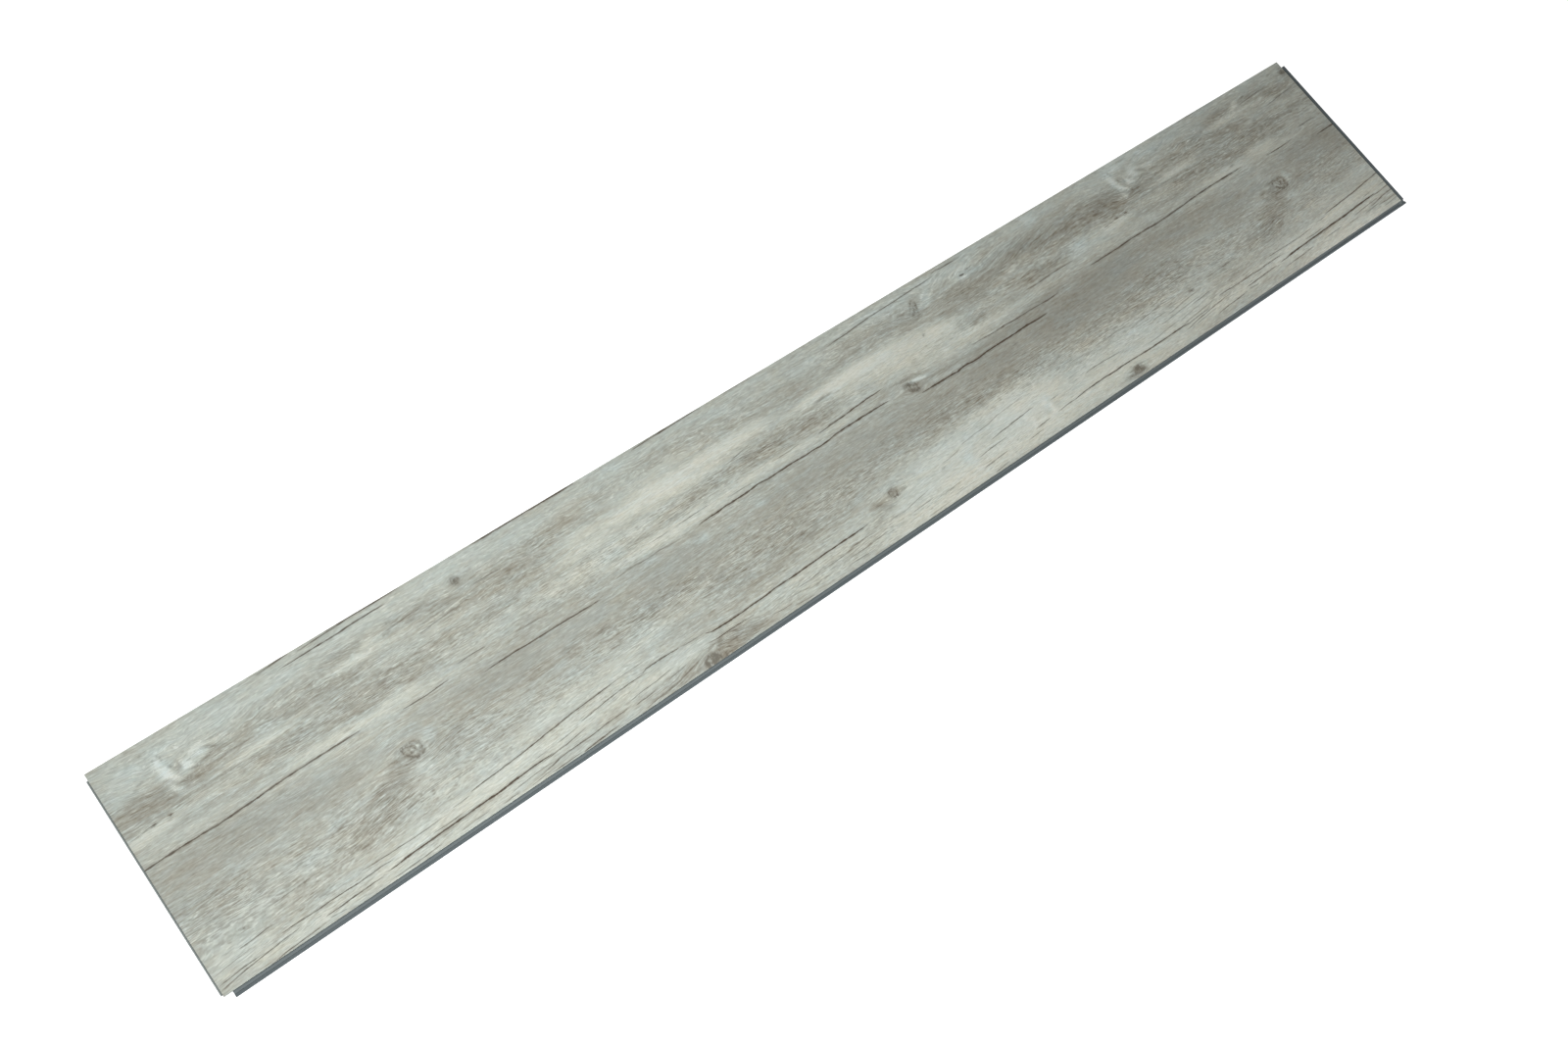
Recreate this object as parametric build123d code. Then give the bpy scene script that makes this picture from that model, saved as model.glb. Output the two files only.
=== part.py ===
from build123d import *
import math
import os

# Click-lock vinyl floor plank, millimetres.
# X is the plank's length, Y its width, Z up through its thickness.
# The origin is on the underside, below the centre of the printed face, so that planks
# laid in a floor repeat every LENGTH along X and every WIDTH along Y.
#
# The plank has a solid dark grey vinyl core whose four sides are milled to a click profile,
# and a printed, clear-coated face layer fused to its top:
#   front (-Y): groove, and below it a long locking lip that stands out past the face
#   right (+X): groove and a longer, taller locking lip
#   back  (+Y): short tongue, and behind it in the underside a recess for a neighbour's lip
#   left  (-X): longer tongue and its recess

LENGTH = 1220.0  # printed face
WIDTH = 180.0
THICKNESS = 5.0
FACE_LAYER = 0.5  # print film and clear wear layer together
CORE_TOP = THICKNESS - FACE_LAYER
FACE_EDGE_EASE = 0.2  # small bevel round the printed face

# shared by both profiles, heights above the underside
UPPER_LIP_UNDER = 2.55  # underside of the lip over the groove, at its mouth
GROOVE_ROOF = 2.45
GROOVE_FLOOR = 1.50
GROOVE_MOUTH_FLOOR = 1.30
GROOVE_DEPTH = 1.65
CHANNEL_FLOOR = 1.20  # thickness of the locking lips at their channel
PLAY = 0.05  # clearance between a lip and the recess that takes it

# long locking lip, front
FRONT_REACH = 4.45
FRONT_RIDGE_FOOT = 2.05
FRONT_RIDGE_START = 2.45
FRONT_RIDGE_TOP = 2.20
FRONT_RIDGE_END = 3.90
FRONT_NOSE = 1.55

# locking lip of the right end
RIGHT_REACH = 6.10
RIGHT_RIDGE_FOOT = 2.60
RIGHT_RIDGE_START = 3.00
RIGHT_RIDGE_TOP = 2.85

# tongues
BACK_TONGUE = 0.85
LEFT_TONGUE = 1.50
TONGUE_TOP = 2.45
TONGUE_UNDER = 1.40

LIP_TOE = 0.25  # bevel at the foot of each lip and recess

# where the milling of one side cuts a neighbouring side's profile back
FRONT_LIP_START_X = -LENGTH / 2 + RIGHT_REACH + PLAY
RIGHT_LIP_START_Y = WIDTH / 2 - 6.5
LEFT_TONGUE_END_Y = WIDTH / 2 - FRONT_REACH - PLAY


def rounded_face(corners, plane):
    """A face on a plane from (a, b, radius) corners, with each corner rounded to its radius."""
    pts = [Vector(a, b, 0) for a, b, _ in corners]
    radii = [r for _, _, r in corners]
    n = len(pts)
    starts, ends, mids = [], [], []
    for i in range(n):
        p, q, s = pts[i], pts[i - 1], pts[(i + 1) % n]
        r = radii[i]
        if r <= 0:
            starts.append(p)
            ends.append(p)
            mids.append(None)
            continue
        d_in, d_out = (q - p).normalized(), (s - p).normalized()
        half = math.radians(d_in.get_angle(d_out)) / 2
        back = r / math.tan(half)
        to_centre = (d_in + d_out).normalized() * (r / math.sin(half))
        centre = p + to_centre
        starts.append(p + d_in * back)
        ends.append(p + d_out * back)
        mids.append(centre - to_centre.normalized() * r)
    edges = []
    for i in range(n):
        j = (i + 1) % n
        if mids[i] is not None:
            edges.append(ThreePointArc(starts[i], mids[i], ends[i]))
        if (starts[j] - ends[i]).length > 1e-6:
            edges.append(Line(ends[i], starts[j]))
    return plane * Face(Wire(edges))


half_l, half_w = LENGTH / 2, WIDTH / 2

# Lip side, as (distance out from the face's edge, height, corner radius), top to bottom.


def lip_side(reach, foot, start, top, end, nose):
    return [
        (0.0, CORE_TOP, 0),
        (0.0, UPPER_LIP_UNDER, 0.10),
        (-GROOVE_DEPTH + 0.30, GROOVE_ROOF, 0.12),
        (-GROOVE_DEPTH, GROOVE_ROOF - 0.30, 0.12),
        (-GROOVE_DEPTH, GROOVE_FLOOR + 0.35, 0.12),
        (-GROOVE_DEPTH + 0.30, GROOVE_FLOOR, 0.12),
        (0.0, GROOVE_MOUTH_FLOOR, 0),
        (0.5, CHANNEL_FLOOR, 0),
        (foot, CHANNEL_FLOOR, 0.15),
        (start, top, 0.12),
        (end, top, 0.10),
        (reach, nose, 0.10),
        (reach, LIP_TOE, 0.05),
        (reach - LIP_TOE, 0.0, 0),
    ]


def tongue_side(tongue, lip_reach, foot, start, top):
    """Bottom to top: the underside's recess for a neighbour's lip, then the tongue."""
    return [
        (-lip_reach - PLAY - LIP_TOE + 0.05, 0.0, 0),
        (-lip_reach - PLAY, LIP_TOE - 0.05, 0),
        (-lip_reach - PLAY, top + 0.10, 0.15),
        (-start + PLAY, top + 0.10, 0.15),
        (-foot + PLAY, CHANNEL_FLOOR + 0.10, 0.10),
        (0.0, TONGUE_UNDER, 0),
        (tongue - 0.25, TONGUE_UNDER + 0.15, 0.08),
        (tongue, 1.85, 0.10),
        (tongue, 2.05, 0.10),
        (tongue - 0.30, 2.36, 0.10),
        (0.0, TONGUE_TOP, 0),
        (0.0, CORE_TOP, 0),
    ]


front = lip_side(
    FRONT_REACH, FRONT_RIDGE_FOOT, FRONT_RIDGE_START, FRONT_RIDGE_TOP, FRONT_RIDGE_END, FRONT_NOSE
)
right = lip_side(
    RIGHT_REACH, RIGHT_RIDGE_FOOT, RIGHT_RIDGE_START, RIGHT_RIDGE_TOP, RIGHT_REACH - 0.15, RIGHT_RIDGE_TOP - 0.15
)
back = tongue_side(BACK_TONGUE, FRONT_REACH, FRONT_RIDGE_FOOT, FRONT_RIDGE_START, FRONT_RIDGE_TOP)
left = tongue_side(LEFT_TONGUE, RIGHT_REACH, RIGHT_RIDGE_FOOT, RIGHT_RIDGE_START, RIGHT_RIDGE_TOP)

# Section of the long sides, in Y and Z, and of the short ends, in X and Z.
long_section = [(-half_w - u, z, r) for u, z, r in front] + [(half_w + u, z, r) for u, z, r in back]
short_section = [(half_l + u, z, r) for u, z, r in right] + [(-half_l - u, z, r) for u, z, r in left]

long_bar = extrude(rounded_face(long_section, Plane.YZ), amount=half_l + 20, both=True)
short_bar = extrude(rounded_face(short_section, Plane.XZ), amount=half_w + 20, both=True)
milled = long_bar & short_bar

# The cutters of one side run through into the next side's lip or tongue at three corners,
# and leave no thin flake below the groove there.
BIG = 40.0
GROOVE_CLEAR = 2.6
front_lip_cut = Pos(FRONT_LIP_START_X - BIG / 2, -half_w - BIG / 2, 0) * Box(BIG, BIG, BIG)
right_lip_cut = Pos(half_l + BIG / 2, RIGHT_LIP_START_Y + BIG / 2, 0) * Box(BIG, BIG, BIG)
left_tongue_cut = Pos(-half_l - BIG / 2, LEFT_TONGUE_END_Y + BIG / 2, 0) * Box(BIG, BIG, BIG)
front_left_flake = Pos(-half_l + GROOVE_CLEAR - BIG / 2, -half_w + GROOVE_DEPTH - BIG / 2, GROOVE_ROOF - BIG / 2) * Box(
    BIG, BIG, BIG
)
back_right_flake = Pos(half_l - GROOVE_DEPTH + BIG / 2, RIGHT_LIP_START_Y + BIG / 2, GROOVE_ROOF - BIG / 2) * Box(
    BIG, BIG, BIG
)
core = milled - front_lip_cut - right_lip_cut - left_tongue_cut - front_left_flake - back_right_flake
core = max(core.solids(), key=lambda s: s.volume)

# Printed face layer, with its small edge bevel.
face = Pos(0, 0, CORE_TOP) * Box(LENGTH, WIDTH, FACE_LAYER, align=(Align.CENTER, Align.CENTER, Align.MIN))
top_edges = face.faces().sort_by(Axis.Z)[-1].edges()
face = chamfer(top_edges, FACE_EDGE_EASE)
face = face.solids()[0]

os.makedirs("parts", exist_ok=True)
export_step(core, "parts/vinyl_core.step")
export_step(face, "parts/printed_face_layer.step")

print("core volume", round(core.volume), "face volume", round(face.volume), "valid", core.is_valid, face.is_valid)
print("core box", core.bounding_box())
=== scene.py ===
import math

import bpy
import numpy as np
from mathutils import Matrix, Vector


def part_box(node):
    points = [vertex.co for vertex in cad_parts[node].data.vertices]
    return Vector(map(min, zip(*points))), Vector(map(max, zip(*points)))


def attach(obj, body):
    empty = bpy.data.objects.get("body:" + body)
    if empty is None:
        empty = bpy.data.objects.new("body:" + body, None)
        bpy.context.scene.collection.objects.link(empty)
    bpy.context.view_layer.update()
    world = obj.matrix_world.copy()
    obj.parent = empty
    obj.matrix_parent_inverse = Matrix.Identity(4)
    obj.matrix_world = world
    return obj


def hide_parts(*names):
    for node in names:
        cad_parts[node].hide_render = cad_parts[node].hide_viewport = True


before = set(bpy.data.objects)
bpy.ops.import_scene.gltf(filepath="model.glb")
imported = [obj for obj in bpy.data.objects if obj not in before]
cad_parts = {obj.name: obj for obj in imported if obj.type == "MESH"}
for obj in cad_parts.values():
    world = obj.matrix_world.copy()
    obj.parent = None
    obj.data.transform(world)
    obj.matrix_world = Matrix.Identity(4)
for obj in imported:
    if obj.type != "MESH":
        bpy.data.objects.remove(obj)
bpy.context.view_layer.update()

MM = 0.001
BASE_THIN = 0.262


def srgb(r, g, b):
    out = []
    for v in (r, g, b):
        v /= 255.0
        out.append(v / 12.92 if v <= 0.04045 else ((v + 0.055) / 1.055) ** 2.4)
    return (*out, 1.0)


# ---------------------------------------------------------------- the printed pattern
# All places are millimetres on the printed face. The print repeats every 935 mm, 7 mm higher each time.
REPEAT = (935.0, 7.0)

# Thin dark cracks in the print: (width, darkness, [(x, y), ...]).
CRACKS = [
    (0.6, 0.5, [(-349, -88.8), (-338, -89.0), (-325, -88.4)]), (0.5, 0.4, [(-345, -92.6), (-325, -91.4)]),
    (1.3, 0.8, [(-644.2, 10.2), (-624.3, 10.2), (-609.3, 10.3), (-594.3, 11), (-574.3, 11), (-557.7, 10.5), (-546, 10.8), (-534.3, 11.3), (-521, 12), (-507.7, 12.7), (-491, 13.2), (-457.7, 13.3), (-445.2, 13.3)]),
    (0.7, 0.6, [(-412.3, 9.7), (-401, 9.3), (-391, 9.2), (-382.7, 9.8), (-373.8, 10.2)]),
    (1.0, 0.8, [(-464.3, 82.7), (-449.3, 83), (-437.7, 83.3), (-424.3, 83.2), (-407.7, 84), (-391, 84.3), (-379.3, 84.2)]),
    (0.9, 0.75, [(-481, 87.8), (-474.3, 88.5), (-466, 89.2), (-456, 89.5)]),
    (0.7, 0.55, [(-449.3, 87.3), (-437.7, 88), (-424.3, 88.3), (-409.3, 88.8)]),
    (1.1, 0.8, [(-427.7, 89.3), (-407.7, 89.5), (-382.7, 89.3), (-364.3, 89.7)]),
    (0.8, 0.45, [(-394.3, 65.7), (-382.7, 66.7), (-369.3, 67.5), (-359.3, 67.8)]),
    (0.6, 0.35, [(-607.7, 32.3), (-599.3, 33.3), (-589.3, 34.2)]),
    (0.8, 0.55, [(-590.5, 33.8), (-589, 34.2), (-587.7, 34.3)]),
    (0.8, 0.55, [(-579.3, 34.2), (-577.7, 34), (-575.7, 34.2)]),
    (0.6, 0.5, [(-609.3, -82.7), (-601, -82), (-591, -81), (-574.3, -80.7)]),
    (0.6, 0.5, [(-609.3, -86), (-597.7, -84.3), (-591, -83.3), (-577.7, -82.2), (-562.7, -81), (-546, -80)]),
    (0.5, 0.3, [(-609.3, -75.8), (-599.3, -74.7), (-589.3, -73.7), (-579.3, -73)]),
    (0.6, 0.5, [(-587.3, -69.3), (-576, -69), (-566, -68), (-561, -68.3)]),
    (0.6, 0.6, [(-560.2, -76.3), (-546, -76.3), (-531, -76.8), (-517.7, -76.5), (-502.7, -77), (-491, -76.7), (-482.7, -76.3), (-473.5, -77)]),
    (0.8, 0.8, [(-530.2, -83.8), (-521, -83.7), (-507.7, -83.2), (-497.7, -83), (-491, -82.7), (-486, -83.3)]),
    (0.5, 0.5, [(-496, -71.3), (-482.7, -71.8), (-469.3, -72), (-457.7, -72.3), (-444.3, -72.3), (-427.7, -71.5)]),
    (1.3, 0.95, [(-480.2, -82), (-469.3, -81.3), (-457.7, -80.5), (-447.7, -80.5), (-437.7, -80), (-424.3, -79.8), (-407.7, -79.3), (-391, -79.2), (-374.3, -78.3), (-359.3, -77.5), (-352.7, -77.5), (-342.7, -77.3)]),
    (0.6, 0.5, [(-442.7, -77.2), (-432.7, -77.7), (-417.7, -77)]),
    (0.5, 0.45, [(-421.8, -70), (-414.3, -69.8), (-406.8, -69.3)]),
    (0.9, 0.8, [(-406, -67.7), (-394.3, -66.7), (-384.3, -66.3), (-374.3, -65.7), (-359.3, -64.8), (-349.3, -63.8), (-339.3, -62.8), (-326, -61.7), (-314.3, -60.5), (-299.3, -59.8), (-282.7, -58.8), (-272.7, -58.5)]),
    (0.6, 0.6, [(-572.7, -89.8), (-566, -89), (-557.7, -88.5), (-546, -88), (-536, -87.5), (-531, -87)]),
    (0.5, 0.4, [(-528.5, -86.3), (-516, -87.3)]),
    (0.6, 0.5, [(-481, -88.2), (-469.3, -88), (-457.7, -87.7), (-447.7, -87.2), (-439.3, -86.7)]),
    (0.5, 0.45, [(-426, -87), (-414.3, -86.3), (-399.3, -86.2)]),
    (0.5, 0.45, [(-391, -88), (-384.3, -87.5), (-377.7, -87.5)]),
    (0.5, 0.45, [(-382.7, -84.7), (-371, -83.5), (-359.3, -82.7), (-344.3, -82.5)]),
    (0.5, 0.35, [(-558.5, -56.3), (-546, -56.2), (-531, -55.7), (-516, -55.3)]),
    (0.5, 0.3, [(-609.3, -43.3), (-594.3, -43), (-581, -42.7), (-569.3, -41.7)]),
    (0.7, 0.35, [(-372, 50.7), (-359.7, 52), (-346.3, 53.2), (-334.7, 53.7)]),
    (1.0, 0.85, [(-348, 0.8), (-338, 1.2), (-321.3, 1.3), (-309.7, 0.8), (-293, 0.8), (-276.3, 0.5), (-263, 0.2), (-246.3, -0.2)]),
    (0.8, 0.55, [(-362.2, 16.8), (-351.3, 17), (-346.3, 17), (-337.2, 16.7)]),
    (0.6, 0.4, [(-313.8, 13.8), (-304.7, 13.2), (-289.7, 13.2)]),
    (0.9, 0.4, [(-228, 6.5), (-216.3, 8.2), (-206.3, 7.8), (-196.3, 7), (-186.3, 7.8), (-179.7, 7), (-170.5, 6.5)]),
    (1.2, 0.92, [(-148, 7.8), (-139.7, 8.7), (-129.7, 8.7), (-121.3, 9.3), (-111.3, 9.3), (-100, 9.5), (-88.3, 10.3), (-76.7, 9.5), (-61.7, 9.8), (-51.7, 10.2), (-41.7, 9.5), (-31.7, 9.7), (-23.3, 9.3), (-15, 9.8), (-10, 10.7), (1.7, 11.3), (16.7, 11.3), (33.3, 11.2), (50.3, 11)]),
    (0.5, 0.5, [(-186.7, 16.2), (-179.7, 16.5), (-171.3, 16.7)]),
    (0.5, 0.5, [(-166, 16.8), (-154.7, 17.2), (-139.7, 17.3), (-129.7, 17.5)]),
    (1.2, 0.9, [(-303, 89.2), (-293, 89.2), (-283, 89.3), (-259.7, 89.5), (-234.7, 89.3), (-209.7, 89.3)]),
    (1.0, 0.8, [(-156.3, 87.8), (-146.3, 88.5), (-133, 88.8), (-119.7, 89), (-101.3, 89.3), (-91.3, 89.5)]),
    (0.6, 0.35, [(-68, 89.3), (-51.3, 89.5), (-34.7, 89.5)]),
    (0.5, 0.35, [(-318, 62.2), (-306.3, 61.7), (-293, 61.5)]),
    (0.5, 0.4, [(-356.3, -74.2), (-346.3, -73.5)]),
    (0.5, 0.35, [(-336.3, -73.3), (-326.3, -72.5), (-314.7, -71.3)]),
    (0.6, 0.5, [(-351.3, -78.5), (-343, -78.2), (-331.3, -77.7), (-319.7, -76.3), (-310.5, -75)]),
    (0.6, 0.6, [(-313, -69.5), (-301.3, -68.5), (-288, -67), (-276.3, -66.2), (-266.3, -66), (-253, -65.8)]),
    (1.0, 0.8, [(-253.8, -65), (-251.3, -64.7), (-248.8, -63.2), (-243, -63.5), (-231.3, -63.5), (-219.7, -64.3)]),
    (0.5, 0.4, [(-218.8, -64.3), (-208, -65), (-196.3, -65.2)]),
    (1.2, 0.92, [(-196.3, -66), (-191.3, -67.8), (-176.3, -68.3), (-159.7, -68.2), (-149.7, -67.7), (-139.7, -67.7), (-128, -66.8), (-111.3, -67), (-93, -66.5), (-76.3, -66), (-59.7, -66), (-43, -65.8), (-33, -65.5)]),
    (0.8, 0.7, [(-357.2, -85.8), (-349.7, -85), (-339.7, -83.3), (-331.3, -82.7), (-309.7, -82.3), (-296.3, -81.3), (-276.3, -80.8)]),
    (0.9, 0.9, [(-323, -89.5), (-316.3, -88.7), (-304.7, -88.2), (-291.3, -87.5)]),
    (0.5, 0.5, [(-273, -82.2), (-259.7, -81.8), (-252.2, -80.8)]),
    (0.5, 0.45, [(-279.7, -77.7), (-269.7, -77), (-259.7, -76), (-248, -75.7), (-238, -74.7), (-230.5, -74.2)]),
    (0.5, 0.4, [(-239.7, -79.8), (-231.3, -79.2), (-221.3, -77.5)]),
    (0.5, 0.45, [(-243, -87.2), (-234.7, -85.8), (-226.3, -83.8), (-217.2, -81.7)]),
    (0.6, 0.6, [(-198.8, -73.8), (-189.7, -74.7), (-179.7, -74.3), (-168, -74.5), (-154.7, -75)]),
    (0.5, 0.45, [(-268, -88.8), (-256.3, -87.5), (-244.7, -86.5), (-236.3, -85.5)]),
    (0.5, 0.4, [(-184.7, -82.2), (-169.7, -81.7)]),
    (0.5, 0.45, [(-143, -82.7), (-134.7, -84.2), (-124.7, -84.5)]),
    (0.5, 0.45, [(-114, -76.8), (-101.3, -76.7), (-86.3, -76), (-71.3, -75.7), (-59.7, -75.2), (-49.7, -75.2)]),
    (0.5, 0.4, [(-261.3, -19.3), (-256.3, -19.2), (-252.2, -19.5)]),
    (1.0, 0.9, [(-18.3, 18.8), (-3.3, 20), (6.7, 20.3), (18.3, 21.2), (31.7, 22), (41.7, 22.3), (51.7, 22.5)]),
    (0.5, 0.4, [(-68.3, 19.8), (-58.3, 19.5), (-48.3, 19.8), (-36.7, 20.5)]),
    (0.5, 0.35, [(-113.7, 13.7), (-103.3, 14.2), (-90, 13.7)]),
    (1.5, 1.0, [(79.2, 1.3), (88.3, 1.3), (101.7, 1), (113.3, 0.8), (118.3, 0.3), (123.3, 1.3), (130, 1.7), (134.7, 0.8), (143, 0.7), (153.3, 1.8), (169.7, 1.8), (186.3, 1.7), (191.3, 2), (199.7, 2.3), (209.7, 1.7), (224.3, 1.8)]),
    (0.9, 0.7, [(35, 78), (48.3, 78.7), (58.3, 79.2), (70, 80.3), (85, 81.2), (98.3, 81.7), (111.7, 81.7), (121.7, 82.3), (134.7, 82.5), (146.3, 82.8), (158, 83.3)]),
    (0.6, 0.16, [(-80.8, 26.7), (-75.8, 30.3), (-71.7, 32.8), (-67.5, 33.3), (-61.7, 33.2), (-50, 32), (-35, 30.7), (-21.7, 28.7)]),
    (0.5, 0.35, [(-96.7, 37.8), (-88.3, 39.3), (-73.3, 41.7)]),
    (0.6, 0.6, [(103.3, -63.8), (113.3, -62.8), (123.3, -62.2), (134.7, -61.3), (144.7, -60.7), (153.8, -60.2)]),
    (0.5, 0.5, [(83.3, -70.8), (96.7, -69.7), (110, -69.2), (116.7, -69)]),
    (0.5, 0.4, [(76.7, -53.3), (93.3, -52), (108.3, -51.5), (120, -49.3), (126.7, -49)]),
    (0.5, 0.35, [(52.5, -57.7), (63.3, -57.2), (74.2, -55.5)]),
    (0.5, 0.4, [(-60, -73.8), (-48.3, -73.5), (-35, -73.5)]),
    (0.5, 0.35, [(-25, -73), (-11.7, -73), (1.7, -73.3), (13.3, -71.3), (30, -69.3)]),
    (0.5, 0.4, [(-71.7, -80.5), (-56.7, -80.3), (-45, -80), (-28.3, -79.3), (-20, -79.3)]),
    (0.5, 0.4, [(-68.3, -84.7), (-55, -85), (-41.7, -85.5)]),
    (0.5, 0.4, [(-119.2, -80.2), (-111.7, -80.5), (-105, -81.3)]),
    (0.5, 0.4, [(-105, -82.7), (-95, -82.3), (-83.3, -81.8)]),
    (0.5, 0.35, [(1.7, -78), (13.3, -77.7), (26.7, -77.3)]),
    (0.5, 0.4, [(32.5, -79.3), (45, -79.3), (56.7, -78.5)]),
    (0.6, 0.45, [(80, -80.7), (93.3, -80), (108.3, -79.2)]),
    (0.6, 0.45, [(86.7, -88.8), (96.7, -88), (103.3, -87.2)]),
    (0.6, 0.45, [(-123.3, -87.3), (-113.3, -88), (-105, -88.5)]),
    (0.9, 0.2, [(-6.7, 42), (1.7, 42.5), (11.7, 42)]),
    (0.5, 0.15, [(13.3, -16.3), (22.5, -14.7), (31.7, -13)]),
    (0.9, 0.7, [(144.7, 13.7), (158, 13.2), (169.7, 12.3), (183, 12.7), (194.7, 12), (208, 12), (219.7, 12), (226.3, 11.5), (234.7, 11.2), (243, 11.7), (248, 12)]),
    (0.9, 0.6, [(222.2, 28.8), (233, 28.7), (246.3, 29.2), (261.3, 29.7), (273, 29.5), (280.5, 29.5)]),
    (0.6, 0.6, [(141.3, -77.5), (151.3, -76.8), (159.7, -76)]),
    (0.6, 0.5, [(169.7, -75.5), (183, -74.7), (191.3, -74.7)]),
    (1.0, 0.85, [(189.7, -74.7), (203, -73.8), (216.3, -73.3), (228, -73.3), (239.7, -73.7), (258, -73.5), (269.7, -74), (279.7, -74.3), (303, -74.5), (319.7, -74.3), (332.2, -74.5)]),
    (0.5, 0.5, [(213, -61.3), (223, -60.5), (236.3, -60.7), (246.3, -61.5), (261.3, -62.2)]),
    (0.5, 0.4, [(171.3, -63.5), (181.3, -63.3)]),
    (0.5, 0.3, [(198, -61.8), (206.3, -61.3)]),
    (0.5, 0.3, [(196.3, -56.5), (204.7, -56.7)]),
    (0.6, 0.5, [(133, -81.7), (146.3, -80.8)]),
    (0.9, 0.7, [(157.2, 86.3), (164.7, 86.2), (174.7, 86), (190.5, 86)]),
    (1.5, 0.6, [(178.8, 71.2), (181.3, 70.7), (183.8, 70.8)]),
    (0.5, 0.35, [(283, -70), (296.3, -69.7), (309.7, -68.3), (326.3, -67.7)]),
    (0.5, 0.35, [(303, -55.5), (311.3, -54.8), (319.7, -54.5)]),
    (0.5, 0.35, [(176.3, -6.3), (183, -6.3)]),
    (0.5, 0.3, [(124, -49.2), (133, -48.5), (144.7, -48), (153, -47.2)]),
    (0.5, 0.35, [(-284, -58.4), (-264, -58), (-244, -57.6)]),
    (0.5, 0.4, [(-366, -77.8), (-356, -77.6), (-350, -77)]),
    (0.5, 0.4, [(-368, -88.4), (-356, -87.6), (-346, -87)]),
    (0.5, 0.35, [(228, -41.2), (244, -41), (262, -40.2)]),
    (0.5, 0.35, [(248, -46.2), (262, -45.6), (278, -45.4)]),
    (0.5, 0.35, [(282, -49.4), (298, -48.6), (316, -47.2), (330, -46.8)]),
    (0.5, 0.35, [(318, -58.4), (336, -56.6), (352, -55.2), (368, -54.6)]),
    (0.5, 0.35, [(306, -63), (322, -61.6), (342, -60.4), (360, -59.4)]),
    (0.5, 0.4, [(318, -74.4), (336, -72.2), (352, -70.8), (370, -69.6)]),
    (0.5, 0.35, [(330, -80.2), (346, -78.4), (366, -77.2)]),
    (0.5, 0.3, [(12, -88.2), (26, -87.6), (40, -87.4)]),
    (0.5, 0.3, [(44, -85.4), (58, -85), (70, -85.2)]),
]

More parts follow.
